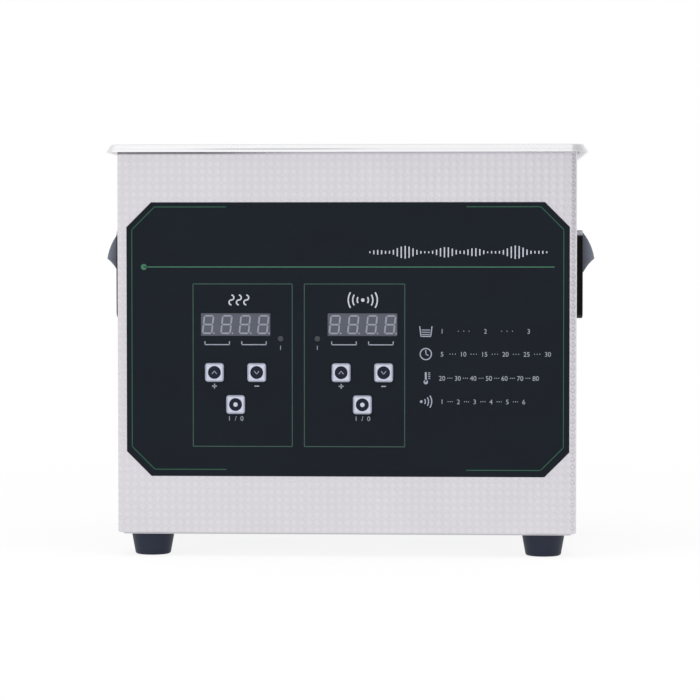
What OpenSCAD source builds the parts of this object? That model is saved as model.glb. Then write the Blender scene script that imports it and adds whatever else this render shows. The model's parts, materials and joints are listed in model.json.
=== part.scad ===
// Bench ultrasonic cleaner of three litres: steel case, drawn tank, control panel, handles and works.
// Millimetres, +Z up, floor at z = 0, the front faces -Y and the middle of the case is x = y = 0.

/* [Case] */
// width of the steel case over its side walls
case_w = 247; // [244:1:262]
// depth of the steel case over its front and rear walls
case_d = 157; // [155:1:172]
// height of the steel case
case_h = 207; // [203:1:225]
// sheet thickness of case, rear panel and base plate
sheet_t = 0.8; // [0.6:0.1:1]
// outer radius of the upright corners
corner_r = 3; // [2.6:0.1:4]
// outer radius of the bend along the bottom edge
bend_r = 1.1; // [1.1:0.1:2.5]
// width of the return that the bottom edge is folded into
return_w = 10; // [8:0.5:11]
// width of the frame left beside the rear opening
rear_frame_side = 12; // [10:0.5:14]
// height of the frame left under the rear opening
rear_frame_low = 14; // [12:0.5:15]
// height of the frame left above the rear opening
rear_frame_top = 15; // [12:0.5:25]
// how far the rear panel laps behind its frame
rear_lap = 6; // [4:0.5:7]

/* [Feet] */
// height of a rubber foot
foot_h = 12.2; // [11:0.1:18]
// diameter of a foot at the top
foot_top_d = 23.4; // [21:0.1:25]
// diameter of a foot at the floor
foot_low_d = 19.5; // [17:0.1:20.5]
// distance of a foot's axis from the case walls
foot_inset = 17.3; // [16.5:0.1:20]
// radius of a foot's lower edge
foot_edge_r = 1.5; // [1:0.1:2]
// setback of the base plate's edge from the case walls
base_inset = 2.5; // [2:0.1:3.5]

/* [Tank] */
// gap between the tank's end walls and the case
tank_gap_side = 3.7; // [3.6:0.1:6]
// gap between the tank's long walls and the case
tank_gap_front = 9.7; // [9.7:0.1:14]
// height of the room for the works between base plate and tank
works_room = 108; // [104:1:114]
// sheet thickness of the tank
tank_t = 1; // [0.8:0.1:1.2]
// inside radius of the tank's upright corners
tank_corner_r = 22; // [16:1:26]
// inside radius between the tank's floor and walls
tank_floor_r = 10; // [6:0.5:12]
// radius of the tank's mouth where the wall turns into the rim
tank_mouth_r = 1.5; // [1.4:0.1:2]
// how far the rim stands out over the case walls
rim_overhang = 6.1; // [5:0.1:7]
// outer radius that the folds between the rim's flat and its lip follow
rim_bend_r = 1.5; // [1.4:0.1:2]
// slope of the rim's lip, in degrees below level
rim_slope = 56; // [50:1:70]
// height of the rim's outer lip
rim_drop = 4.2; // [4:0.1:5.5]
// thickness of the rubber edging between case and rim
seal_t = 1; // [0.8:0.1:1.5]

/* [Control panel] */
// thickness of the control panel
panel_t = 1; // [0.8:0.1:1.2]
// bare case beside the control panel
panel_side = 4.6; // [4.2:0.05:10]
// sideways shift of the control panel
panel_shift = 0.7; // [-1:0.1:1]
// bare case under the control panel
panel_low = 30.75; // [24:0.25:36]
// bare case above the control panel
panel_top = 29; // [20:0.5:34]
// size of the panel's cut corners
panel_cut = 13.3; // [8:0.1:18]
// sideways place of the middle between the two control groups
groups_x = -25.3; // [-28:0.1:-20]
// distance of each control group from that middle
group_dx = 34.1; // [33.4:0.1:36]
// height of the displays above the case's bottom edge
display_up = 112.4; // [111:0.1:116]
// visible width of a display
display_w = 37.4; // [36:0.1:39]
// visible height of a display
display_h = 12.2; // [12:0.1:13.5]
// height of the arrow keys above the case's bottom edge
arrow_up = 86.65; // [85:0.1:88]
// distance between a pair of arrow keys
arrow_pitch = 22.8; // [20:0.1:26]
// height of the power keys above the case's bottom edge
power_up = 69.4; // [67:0.1:70]
// side length of a square key
key_size = 10.1; // [9:0.1:11]
// corner radius of a key
key_r = 1.7; // [1:0.1:2.5]
// how far a key stands out of the panel
key_proud = 0.8; // [0.6:0.1:1.2]
// travel of a key
key_travel = 0.5; // [0.3:0.05:0.6]
// diameter of an indicator lamp
lamp_d = 3; // [2.5:0.1:3.4]
// distance of each lamp from the middle between the groups
lamp_dx = 9.9; // [8:0.1:11]
// height of the lamps above the case's bottom edge
lamp_up = 104.8; // [103:0.1:106]

/* [Handles] */
// length of a handle's plate
handle_len = 98; // [92:1:110]
// height of a handle's plate
handle_h = 48; // [45:0.2:50]
// thickness of a handle's plate
handle_plate_t = 4.2; // [3.8:0.1:4.6]
// height of a handle's middle above the case's bottom edge
handle_up = 139.2; // [130:0.2:146]
// how far a handle stands out of the case
handle_out = 11; // [10:0.1:12]
// straight length of a handle's hood
hood_len = 68; // [64:1:72]
// wall thickness of a handle's hood
hood_t = 2.2; // [1.8:0.1:2.4]

/* [Transducers] */
// distance of each transducer from the middle of the tank
transducer_dx = 58; // [54:1:64]
// diameter of a transducer's front mass at the tank
horn_d = 45; // [42:1:48]
// diameter of the piezo rings and back mass
piezo_d = 38; // [35:1:40]
// height of a front mass
horn_h = 24; // [20:1:25]
// thickness of one piezo ring
piezo_t = 5; // [4:0.5:6]
// height of a back mass
back_mass_h = 16; // [14:1:17]

/* [Generator] */
// length of the generator board
gen_len = 150; // [146:1:156]
// width of the generator board
gen_w = 96; // [93:1:100]
// height of the pillars under the generator board
pillar_h = 9; // [7:0.5:10]
// height of the filter capacitors
capacitor_h = 30; // [24:1:32]

/* [Rear fittings] */
// side length of the cooling fan
fan_size = 60; // [58:1:62]
// depth of the cooling fan
fan_deep = 15; // [14:0.5:18]
// distance of the fan's axis from the side of the rear opening
fan_in = 41.5; // [38:0.5:46]
// height of the fan's axis above the case's bottom edge
fan_up = 52; // [50:1:60]
// distance of the mains inlet and switch from the side of the rear opening
mains_in = 41.5; // [36:0.5:46]
// height of the mains inlet above the case's bottom edge
inlet_up = 34; // [32:1:38]
// height of the mains switch above the case's bottom edge
switch_up = 72; // [68:1:80]

/* [Hidden] */
$fn = 64;
// overlap that lets a cut run clear of a face
over = 1;
// usual clearance round a part in its hole
fit = 0.15;
// clearance of a bearing
run_fit = 0.05;

// levels, from the floor up
base_z = foot_h;
case_z = base_z + sheet_t;
case_top = case_z + case_h;
rim_under = case_top + seal_t;
rim_z = rim_under + tank_t;
base_top = case_z;
tank_under = base_top + works_room;
tank_floor_z = tank_under + tank_t;

// upright planes
side_x = case_w / 2;
front_y = -case_d / 2;
rear_y = case_d / 2;
wall_in_x = side_x - sheet_t;
wall_in_y = rear_y - sheet_t;

// tank and rim
tank_in_w = 2 * (wall_in_x - tank_gap_side - tank_t);
tank_in_d = 2 * (wall_in_y - tank_gap_front - tank_t);
rim_w = case_w + 2 * rim_overhang;
rim_d = case_d + 2 * rim_overhang;
rim_corner_r = corner_r + rim_overhang;
rim_folds = 3;
rim_fold = rim_slope / rim_folds;
rim_lip_z = rim_bend_r - rim_drop;
rim_fall = (rim_bend_r - rim_lip_z * cos(rim_slope)) / sin(rim_slope);
seal_leg_t = 0.9;
seal_leg_h = 1.8;
seal_gap = 0.1;

// screws: shank, head diameter, head height
m3_d = 3;
m3_head_d = 5.6;
m3_head_h = 1.8;
m4_d = 4;
m4_head_d = 8;
m4_head_h = 2.6;
m4_nut_d = 8.08;
m4_nut_h = 3.2;
screw_gap = 0.2;
recess_w = 0.9;
recess_share = 0.48;
head_edge_share = 0.6;

// feet and base
foot_x = side_x - foot_inset;
foot_y = rear_y - foot_inset;
foot_floor_t = 5.2;
foot_bore_d = 9.4;
base_screw_inset = 6.2;
base_screw_y = 30;
base_screw_x = 60;
base_head_h = 0.8;
base_screw_len = 6;
base_places = [[side_x - base_screw_inset, base_screw_y], [side_x - base_screw_inset, -base_screw_y],
  [base_screw_inset - side_x, base_screw_y], [base_screw_inset - side_x, -base_screw_y],
  [base_screw_x, rear_y - base_screw_inset], [-base_screw_x, rear_y - base_screw_inset]];
vent_w = 3;
vent_len = 44;
vent_pitch = 8;
vent_rows = 5;
vent_x = 52;

// rear panel
panel_rear_y = wall_in_y;
panel_rear_in = wall_in_y - sheet_t;
rear_open_x = side_x - rear_frame_side;
rear_open_low = case_z + rear_frame_low;
rear_open_top = case_top - rear_frame_top;
rear_screw_x = rear_open_x + rear_lap / 2;
rear_screw_end = 20;
rear_screw_len = 7;
rear_places = [for (sx = [-1, 1], z = [rear_open_low + rear_screw_end, (rear_open_low + rear_open_top) / 2,
  rear_open_top - rear_screw_end]) [sx * rear_screw_x, z]];
slot_w = 4;
slot_pitch = 7;
slot_half_count = 3;
slot_margin = 4;

// control panel
panel_front = front_y - panel_t;
panel_half = side_x - panel_side;
panel_z0 = case_z + panel_low;
panel_z1 = case_top - panel_top;
heat_x = groups_x - group_dx;
time_x = groups_x + group_dx;
display_z = case_z + display_up;
arrow_z = case_z + arrow_up;
power_z = case_z + power_up;
lamp_z = case_z + lamp_up;
key_flange = 1.2;
key_flange_t = 1;
key_flange_gap = 0.1;
key_stem_d = 3.4;
key_disc_d = 7;
key_disc_deep = 0.15;
display_sink = 0.3;
display_deep = 7.2;
board_front = panel_front + display_sink + display_deep;
board_t = 1.6;
board_back = board_front + board_t;
switch_side = 6;
switch_tall = 3.5;
switch_bore_d = 4;
switch_bore_deep = 2;
stem_spare = 0.4;
stem_bottom_gap = key_travel + stem_spare;
lamp_collar_d = 3.8;
lamp_collar_h = 1;
// opening in the case behind the panel, and the board that spans it
window_margin = 3;
window_x0 = heat_x - display_w / 2 - window_margin;
window_x1 = time_x + display_w / 2 + window_margin;
window_z0 = power_z - key_size / 2 - window_margin;
window_z1 = display_z + display_h / 2 + window_margin;
board_lap = 7;
spacer_d = 5.5;
board_screw_d = 2.4;
board_screw_head_d = 4.6;
board_screw_head_h = 1.4;
board_screw_len = 5;
spacer_places = [for (x = [window_x0 - board_lap / 2, window_x1 + board_lap / 2],
  z = [window_z0 + board_lap, arrow_z + board_lap]) [x, z]];

// digits of a display
digit_count = 4;
digit_pitch = 9.9;
digit_half_w = 2.45;
digit_half_h = 4.7;
digit_lean = 0.108;
digit_stroke = 1;
digit_gap = 0.12;
digit_deep = 0.25;

// handles
handle_z = case_z + handle_up;
handle_corner_r = 4;
handle_edge_r = 0.8;
pocket_floor_t = 1;
hood_head = 1;
hood_lip = 0.2;
hood_step = 0.4;
hood_tip_up = 8.5;
hood_low = -5.8;
hood_bite = 0.15;
hood_swell = 1.1;
hood_hollow_r = 18;
hood_lip_z = hood_tip_up - hood_lip;
pocket_low = -17.6;
cavity_half = hood_len / 2 + over;
handle_screw_out = 3.5;
handle_screw_y = hood_len / 2 + handle_screw_out;
handle_screw_z = 11.9;
handle_screw_in = 4.8;
handle_head_h = 2.2;

// roof of the hood: an arc from a small step at the plate's head to the tip
roof_a = [handle_plate_t + hood_step, handle_h / 2 - hood_head];
roof_c = [handle_out, hood_tip_up];
roof_chord = norm(roof_c - roof_a);
roof_r = roof_chord * roof_chord / (8 * hood_swell) + hood_swell / 2;
roof_normal = [roof_a[1] - roof_c[1], roof_c[0] - roof_a[0]] / roof_chord;
roof_centre = (roof_a + roof_c) / 2 - roof_normal * (roof_r - hood_swell);
pocket_top = roof_a[1] - hood_t;

// transducer stack, from the tank down
electrode_t = 0.4;
horn_low = tank_under - horn_h;
ring_a_low = horn_low - piezo_t;
plate_a_low = ring_a_low - electrode_t;
ring_b_low = plate_a_low - piezo_t;
plate_b_low = ring_b_low - electrode_t;
back_low = plate_b_low - back_mass_h;
piezo_bore_d = 16;
bolt_d = 10;
bolt_head_d = 17;
bolt_head_h = 6;
bolt_in = 12;
bolt_gap = 0.15;
tab_w = 5;
tab_len = 8;

// heater, cut-out and probe
heater_end = 30;
heater_half = tank_in_w / 2 - heater_end;
heater_t = 1.6;
heater_low = 20;
heater_head = 23;
heater_z0 = tank_under + heater_low;
heater_z1 = rim_z - heater_head;
cutout_cup_d = 16.5;
cutout_cup_h = 2;
cutout_d = 15;
cutout_h = 8;
blade_w = 6.3;
blade_t = 0.8;
blade_len = 8;
blade_dx = 4.5;
probe_y = 34;
probe_block = [14, 12, 6];
probe_d = 4;
probe_len = 20;

// generator board and its parts
gen_x = -5;
gen_y = -12;
gen_t = 1.6;
gen_z = base_top + pillar_h;
gen_top = gen_z + gen_t;
pillar_d = 6;
pillar_inset = 5;
gen_places = [for (sx = [-1, 1], sy = [-1, 1])
  [gen_x + sx * (gen_len / 2 - pillar_inset), gen_y + sy * (gen_w / 2 - pillar_inset)]];
gen_screw_len = 7;
sink_w = 60;
sink_clear = 8.6;
sink_h = back_low - bolt_head_h - sink_clear - gen_top;
sink_base = 4;
sink_deep = 24;
sink_fin = 2;
sink_fins = 8;
sink_dx = -28;
sink_dy = 8;
sink_x = gen_x + sink_dx;
sink_y = gen_y + sink_dy;
to_body = [16, 5, 20];
to_leg = [1.2, 0.6, 6];
to_leg_pitch = 5.4;
to_dx = 15;
core_size = [40, 14, 34];
core_frame = 8;
coil_wall = 5;
core_dx = 34;
core_dy = 14;
core_x = gen_x + core_dx;
core_y = gen_y + core_dy;
ring_r = 11;
ring_half = 4.5;
ring_edge = 2;
ring_dx = 20;
ring_dy = -24;
ring_x = gen_x + ring_dx;
ring_y = gen_y + ring_dy;
capacitor_d = 20;
capacitor_edge = 1.5;
capacitor_dx = -42;
capacitor_dy = -26;
capacitor_pitch = 24;
capacitor_y = gen_y + capacitor_dy;
capacitor_xs = [for (side = [-1, 1]) gen_x + capacitor_dx + side * capacitor_pitch / 2];
fuse_d = 5;
fuse_len = 20;
fuse_cap_d = 5.6;
fuse_cap_len = 5;
fuse_dx = 52;
fuse_dy = -28;
fuse_x = gen_x + fuse_dx;
fuse_y = gen_y + fuse_dy;
fuse_up = 5;
clip_t = 0.8;

// fan
fan_x = fan_in - rear_open_x;
fan_z = case_z + fan_up;
fan_rear = panel_rear_in;
fan_front = fan_rear - fan_deep;
fan_wall = 1.5;
fan_hole_in = 5;
fan_bore_d = fan_size - 2 * fan_wall;
fan_hole_pitch = fan_size - 2 * fan_hole_in;
fan_hole_d = 4.3;
fan_corner_r = 4;
fan_back_t = 2;
fan_arm_w = 3.5;
fan_hub_d = 25;
fan_gap = 1;
fan_tube_d = 8;
fan_shaft_d = 2.4;
fan_blades = 7;
fan_blade_t = 1.2;
fan_blade_tilt = 38;
fan_cup_t = 1.5;
fan_screw_d = 4;
fan_screw_len = 11;
fan_head_d = 7;
fan_head_h = 2;

// mains inlet
mains_x = rear_open_x - mains_in;
inlet_z = case_z + inlet_up;
inlet_flange = [50, 24];
inlet_flange_t = 3;
inlet_flange_r = 4;
inlet_body = [27.4, 20];
inlet_hole = [24.2, 16.4];
inlet_cut = 4;
inlet_deep = 16;
inlet_floor_t = 2;
inlet_face = panel_rear_y + inlet_flange_t;
inlet_floor_y = inlet_face - inlet_deep;
inlet_screw_dx = 20;
inlet_screw_len = 8;
inlet_head_h = 1.7;
pin_w = 4;
pin_t = 2;
pin_dx = 7;
pin_dz = 2;
pin_tip = 2.5;
pin_tail = 9;

// mains switch
switch_z = case_z + switch_up;
bezel = [15, 21];
bezel_t = 2;
bezel_r = 1.5;
body_size = [13, 19];
body_deep = 14;
well_w = 10.6;
well_h = 17.6;
well_deep = 8;
pivot_deep = 1.7;
well_floor_y = panel_rear_y - well_deep;
pivot_y = panel_rear_y - pivot_deep;
pivot_d = 2.4;
pivot_len = 0.8;
rocker_half = 7.6;
rocker_w = 10;
rocker_tall = 4.2;
rocker_dip = 0.9;
rocker_hub_r = 2.6;
rocker_tilt = 11;
tag_w = 4.8;
tag_t = 0.8;
tag_len = 8;
tag_dz = 6;

// a rectangle with round corners about the origin
module rounded_rect(w, d, r) {
  square([w - 2 * r, d], center = true);
  square([w, d - 2 * r], center = true);
  for (sx = [-1, 1], sy = [-1, 1])
    translate([sx * (w / 2 - r), sy * (d / 2 - r)])
      circle(r);
}

// a quarter of a disc, to the right and above the origin
module quarter_disc(r) {
  intersection() {
    circle(r);
    square(r);
  }
}

// a quarter of a ring, to the right and above the origin
module quarter_ring(r_out, r_in) {
  difference() {
    quarter_disc(r_out);
    circle(r_in);
  }
}

// a profile carried round a rounded rectangle: its x is the distance out from a corner's centre
module swept_ring(w, d, r) {
  dx = w / 2 - r;
  dy = d / 2 - r;
  translate([dx, dy, 0])
    rotate_extrude(angle = 90)
      children();
  translate([-dx, dy, 0])
    rotate([0, 0, 90])
      rotate_extrude(angle = 90)
        children();
  translate([-dx, -dy, 0])
    rotate([0, 0, 180])
      rotate_extrude(angle = 90)
        children();
  translate([dx, -dy, 0])
    rotate([0, 0, 270])
      rotate_extrude(angle = 90)
        children();
  for (turn = [0, 180])
    rotate([0, 0, turn])
      translate([dx, 0, 0])
        rotate([90, 0, 0])
          linear_extrude(2 * dy, center = true)
            children();
  for (turn = [90, 270])
    rotate([0, 0, turn])
      translate([dy, 0, 0])
        rotate([90, 0, 0])
          linear_extrude(2 * dx, center = true)
            children();
}

// a flat shape drawn as seen from the front, from plane y back by the given depth
module from_front(y, deep) {
  translate([0, y + deep, 0])
    rotate([90, 0, 0])
      linear_extrude(deep)
        children();
}

// a round bar along Y from y0 to y1
module bar_y(x, z, d, y0, y1) {
  translate([x, y0, z])
    rotate([-90, 0, 0])
      cylinder(d = d, h = y1 - y0);
}

// cross recess of a screw, sunk from the origin along -Z
module cross_recess(head_d, deep) {
  arm = head_d * recess_share;
  for (turn = [0, 90])
    rotate([0, 0, turn])
      translate([-arm / 2, -recess_w / 2, -deep])
        cube([arm, recess_w, deep + over]);
}

// a screw along -Z with the underside of its rounded head at the origin
module screw(d, len, head_d, head_h) {
  edge = head_h * head_edge_share;
  difference() {
    union() {
      rotate_extrude()
        union() {
          square([head_d / 2, head_h - edge]);
          square([head_d / 2 - edge, head_h]);
          translate([head_d / 2 - edge, head_h - edge])
            quarter_disc(edge);
        }
      translate([0, 0, -len])
        cylinder(d = d, h = len + head_h / 4);
    }
    translate([0, 0, head_h])
      cross_recess(head_d, head_h / 2);
  }
}

// section of the case's wall with the bend along its bottom edge
module case_section() {
  translate([corner_r - sheet_t, case_z + bend_r])
    square([sheet_t, case_h - bend_r]);
  translate([corner_r - bend_r, case_z + bend_r])
    mirror([0, 1])
      quarter_ring(bend_r, bend_r - sheet_t);
}

module case_wrap() {
  color("silver")
    difference() {
      union() {
        swept_ring(case_w, case_d, corner_r)
          case_section();
        translate([0, 0, case_z])
          linear_extrude(sheet_t)
            difference() {
              rounded_rect(case_w - 2 * bend_r, case_d - 2 * bend_r, corner_r - bend_r);
              square([case_w - 2 * return_w, case_d - 2 * return_w], center = true);
            }
      }
      translate([window_x0, front_y - over, window_z0])
        cube([window_x1 - window_x0, sheet_t + 2 * over, window_z1 - window_z0]);
      translate([-rear_open_x, wall_in_y - over, rear_open_low])
        cube([2 * rear_open_x, sheet_t + 2 * over, rear_open_top - rear_open_low]);
      for (p = rear_places)
        bar_y(p[0], p[1], m3_d + screw_gap, wall_in_y - over, rear_y + over);
      for (p = base_places)
        translate([p[0], p[1], case_z - over])
          cylinder(d = m3_d + screw_gap, h = sheet_t + 2 * over);
      for (sx = [-1, 1], sy = [-1, 1])
        translate([sx * wall_in_x, sy * handle_screw_y, handle_z + handle_screw_z])
          rotate([0, 90, 0])
            cylinder(d = m3_d + screw_gap, h = 4 * sheet_t, center = true);
    }
}

// slots of the fan's grille, seen from the front
module grille() {
  reach = fan_bore_d / 2 - slot_margin;
  for (i = [-slot_half_count : slot_half_count])
    translate([fan_x, fan_z + i * slot_pitch])
      square([2 * sqrt(reach * reach - pow(i * slot_pitch, 2)), slot_w], center = true);
}

module rear_panel() {
  color("silver")
    from_front(panel_rear_in, sheet_t)
      difference() {
        translate([-rear_open_x - rear_lap, rear_open_low - rear_lap])
          square([2 * (rear_open_x + rear_lap), rear_open_top - rear_open_low + 2 * rear_lap]);
        grille();
        for (sx = [-1, 1], sz = [-1, 1])
          translate([fan_x + sx * fan_hole_pitch / 2, fan_z + sz * fan_hole_pitch / 2])
            circle(d = fan_screw_d + screw_gap);
        for (p = rear_places)
          translate(p)
            circle(d = m3_d + screw_gap);
        translate([mains_x, inlet_z])
          square([inlet_body[0] + 2 * fit, inlet_body[1] + 2 * fit], center = true);
        for (sx = [-1, 1])
          translate([mains_x + sx * inlet_screw_dx, inlet_z])
            circle(d = m3_d + screw_gap);
        translate([mains_x, switch_z])
          square([body_size[0] + 2 * fit, body_size[1] + 2 * fit], center = true);
      }
}

module rear_panel_screws() {
  color("gray")
    for (p = rear_places)
      translate([p[0], rear_y, p[1]])
        rotate([-90, 0, 0])
          screw(m3_d, rear_screw_len, m3_head_d, m3_head_h);
}

// rows of ventilation slots on one side of the base
module vents() {
  for (i = [0 : vent_rows - 1])
    translate([vent_x, (i - (vent_rows - 1) / 2) * vent_pitch])
      square([vent_len, vent_w], center = true);
}

module base_plate() {
  color("silver")
    translate([0, 0, base_z])
      linear_extrude(sheet_t)
        difference() {
          rounded_rect(case_w - 2 * base_inset, case_d - 2 * base_inset, corner_r);
          vents();
          mirror([1, 0])
            vents();
          for (p = base_places)
            translate(p)
              circle(d = m3_d + screw_gap);
          for (sx = [-1, 1], sy = [-1, 1])
            translate([sx * foot_x, sy * foot_y])
              circle(d = m4_d + screw_gap);
        }
}

module base_screws() {
  color("gray")
    for (p = base_places)
      translate([p[0], p[1], base_z])
        rotate([180, 0, 0])
          screw(m3_d, base_screw_len, m3_head_d, base_head_h);
}

// a tapered foot with a rounded lower edge and a bore for its screw
module foot(sx, sy) {
  top_r = foot_top_d / 2;
  low_r = foot_low_d / 2;
  color("dimgray")
    translate([sx * foot_x, sy * foot_y, 0])
      difference() {
        rotate_extrude()
          union() {
            square([low_r - foot_edge_r, foot_h]);
            polygon([[0, foot_edge_r], [low_r, foot_edge_r], [top_r, foot_h], [0, foot_h]]);
            translate([low_r - foot_edge_r, foot_edge_r])
              mirror([0, 1])
                quarter_disc(foot_edge_r);
          }
        translate([0, 0, -over])
          cylinder(d = foot_bore_d, h = foot_h - foot_floor_t + over);
        cylinder(d = m4_d + screw_gap, h = foot_h + over);
      }
}

module foot_screws() {
  color("gray")
    for (sx = [-1, 1], sy = [-1, 1])
      translate([sx * foot_x, sy * foot_y, foot_h - foot_floor_t])
        rotate([180, 0, 0])
          screw(m4_d, foot_floor_t + sheet_t + m4_nut_h + over, m4_head_d, m4_head_h);
}

module foot_nuts() {
  color("gray")
    for (sx = [-1, 1], sy = [-1, 1])
      translate([sx * foot_x, sy * foot_y, base_top])
        difference() {
          cylinder(d = m4_nut_d, h = m4_nut_h, $fn = 6);
          translate([0, 0, -over])
            cylinder(d = m4_d + 2 * run_fit, h = m4_nut_h + 2 * over);
        }
}

// section of the tank's sheet from the flat of the floor to the flat of the rim
module tank_section() {
  wall_low = tank_floor_z + tank_floor_r;
  wall_top = rim_z - tank_mouth_r;
  translate([0, tank_under])
    square([tank_corner_r - tank_floor_r, tank_t]);
  translate([tank_corner_r - tank_floor_r, wall_low])
    mirror([0, 1])
      quarter_ring(tank_floor_r + tank_t, tank_floor_r);
  translate([tank_corner_r, wall_low])
    square([tank_t, wall_top - wall_low]);
  translate([tank_corner_r + tank_mouth_r, wall_top])
    mirror([1, 0])
      quarter_ring(tank_mouth_r, tank_mouth_r - tank_t);
  translate([tank_corner_r + tank_mouth_r, rim_under])
    square([over, tank_t]);
}

// area under the rim's edge, counted from the centre of its folds, which lie that radius away
module rim_edge_area(r) {
  folds = [for (i = [0 : rim_folds - 1])
    r / cos(rim_fold / 2) * [sin((i + 0.5) * rim_fold), cos((i + 0.5) * rim_fold)]];
  lip_end = [(r - rim_lip_z * cos(rim_slope)) / sin(rim_slope), rim_lip_z];
  polygon(concat([[0, rim_lip_z], [0, r]], folds, [lip_end]));
}

// section of the rim's edge: narrow folds, and a lip that slopes out and down
module rim_section() {
  translate([rim_corner_r - rim_fall, rim_z - rim_bend_r])
    difference() {
      rim_edge_area(rim_bend_r);
      rim_edge_area(rim_bend_r - tank_t);
    }
  translate([rim_corner_r - rim_fall - over, rim_under])
    square([over, tank_t]);
}

module tank() {
  mouth = 2 * tank_mouth_r;
  edge = 2 * rim_fall;
  floor_w = tank_in_w - 2 * tank_corner_r + 2 * over;
  floor_d = tank_in_d - 2 * tank_corner_r + 2 * over;
  color("whitesmoke")
    union() {
      swept_ring(tank_in_w, tank_in_d, tank_corner_r)
        tank_section();
      translate([0, 0, tank_under + tank_t / 2])
        cube([floor_w, floor_d, tank_t], center = true);
      translate([0, 0, rim_under])
        linear_extrude(tank_t)
          difference() {
            rounded_rect(rim_w - edge, rim_d - edge, rim_corner_r - rim_fall);
            rounded_rect(tank_in_w + mouth, tank_in_d + mouth, tank_corner_r + tank_mouth_r);
          }
      swept_ring(rim_w, rim_d, rim_corner_r)
        rim_section();
    }
}

// rubber edging over the case's top edge, rounded on the outside
module rim_seal() {
  wide = 2 * seal_leg_t + 2 * seal_gap + sheet_t;
  leg_in = corner_r - sheet_t - seal_gap - seal_leg_t;
  color("gainsboro")
    swept_ring(case_w, case_d, corner_r)
      translate([leg_in, case_top - seal_leg_h])
        difference() {
          union() {
            square([wide, seal_leg_h]);
            square([wide - seal_t, seal_leg_h + seal_t]);
            translate([wide - seal_t, seal_leg_h])
              quarter_disc(seal_t);
          }
          translate([seal_leg_t, -over])
            square([sheet_t + 2 * seal_gap, seal_leg_h + over]);
        }
}

// outline of the control panel, seen from the front
module panel_outline() {
  x = panel_half;
  c = panel_cut;
  translate([panel_shift, 0])
    polygon([[-x + c, panel_z0], [x - c, panel_z0], [x, panel_z0 + c], [x, panel_z1 - c],
      [x - c, panel_z1], [-x + c, panel_z1], [-x, panel_z1 - c], [-x, panel_z0 + c]]);
}

module control_panel() {
  color("black")
    from_front(panel_front, panel_t)
      difference() {
        panel_outline();
        for (x = [heat_x, time_x]) {
          translate([x, display_z])
            square([display_w + 2 * fit, display_h + 2 * fit], center = true);
          translate([x, power_z])
            rounded_rect(key_size + 2 * fit, key_size + 2 * fit, key_r + fit);
          for (side = [-1, 1])
            translate([x + side * arrow_pitch / 2, arrow_z])
              rounded_rect(key_size + 2 * fit, key_size + 2 * fit, key_r + fit);
        }
        for (side = [-1, 1])
          translate([groups_x + side * lamp_dx, lamp_z])
            circle(d = lamp_d + 2 * fit);
      }
}

// a level bar of a digit, with pointed ends, leaning with the digit
module level_bar(up) {
  half = digit_half_w - digit_gap;
  s = digit_stroke / 2;
  polygon([[-half + up * digit_lean, up], [-half + s + up * digit_lean, up + s],
    [half - s + up * digit_lean, up + s], [half + up * digit_lean, up],
    [half - s + up * digit_lean, up - s], [-half + s + up * digit_lean, up - s]]);
}

// an upright bar of a digit, with pointed ends, leaning with the digit
module upright_bar(side, low, high) {
  s = digit_stroke / 2;
  x = side * digit_half_w;
  a = low + digit_gap;
  b = high - digit_gap;
  polygon([[x + a * digit_lean, a], [x + s + (a + s) * digit_lean, a + s],
    [x + s + (b - s) * digit_lean, b - s], [x + b * digit_lean, b],
    [x - s + (b - s) * digit_lean, b - s], [x - s + (a + s) * digit_lean, a + s]]);
}

// one digit of seven bars
module digit() {
  for (up = [-digit_half_h, 0, digit_half_h])
    level_bar(up);
  for (side = [-1, 1]) {
    upright_bar(side, 0, digit_half_h);
    upright_bar(side, -digit_half_h, 0);
  }
}

// a display block whose digits are sunk into its face
module display(x) {
  y = panel_front + display_sink;
  color("slategray")
    difference() {
      from_front(y, display_deep)
        translate([x, display_z])
          square([display_w, display_h], center = true);
      from_front(y - over, digit_deep + over)
        for (i = [0 : digit_count - 1])
          translate([x + (i - (digit_count - 1) / 2) * digit_pitch, display_z])
            digit();
    }
}

module lamp(side) {
  x = groups_x + side * lamp_dx;
  color("gainsboro")
    union() {
      bar_y(x, lamp_z, lamp_d, panel_front, board_front);
      bar_y(x, lamp_z, lamp_collar_d, board_front - lamp_collar_h, board_front);
    }
}

// a key: cap in the panel's hole, flange behind the panel and stem into its switch
module key(x, z) {
  face = panel_front - key_proud;
  flange_front = front_y + key_flange_gap;
  stem_end = board_front - switch_tall + switch_bore_deep - stem_bottom_gap;
  color("lightsteelblue")
    difference() {
      union() {
        from_front(face, flange_front - face + key_flange_t / 2)
          translate([x, z])
            rounded_rect(key_size, key_size, key_r);
        from_front(flange_front, key_flange_t)
          translate([x, z])
            rounded_rect(key_size + 2 * key_flange, key_size + 2 * key_flange, key_r);
        bar_y(x, z, key_stem_d, flange_front, stem_end);
      }
      bar_y(x, z, key_disc_d, face - over, face + key_disc_deep);
    }
}

// places of the six keys and their switches
key_places = [for (x = [heat_x, time_x])
  each [[x - arrow_pitch / 2, arrow_z], [x + arrow_pitch / 2, arrow_z], [x, power_z]]];

module tact_switches() {
  color("dimgray")
    for (p = key_places)
      difference() {
        from_front(board_front - switch_tall, switch_tall)
          translate(p)
            square(switch_side, center = true);
        bar_y(p[0], p[1], switch_bore_d, board_front - switch_tall - over,
          board_front - switch_tall + switch_bore_deep);
      }
}

module control_board() {
  color("darkgreen")
    from_front(board_front, board_t)
      difference() {
        translate([window_x0 - board_lap, window_z0])
          square([window_x1 - window_x0 + 2 * board_lap, window_z1 - window_z0]);
        for (p = spacer_places)
          translate(p)
            circle(d = board_screw_d + screw_gap);
      }
}

module control_board_spacers() {
  color("goldenrod")
    for (p = spacer_places)
      difference() {
        bar_y(p[0], p[1], spacer_d, front_y + sheet_t, board_front);
        bar_y(p[0], p[1], board_screw_d + 2 * run_fit, front_y + sheet_t + over / 2, board_front + over);
      }
}

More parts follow.
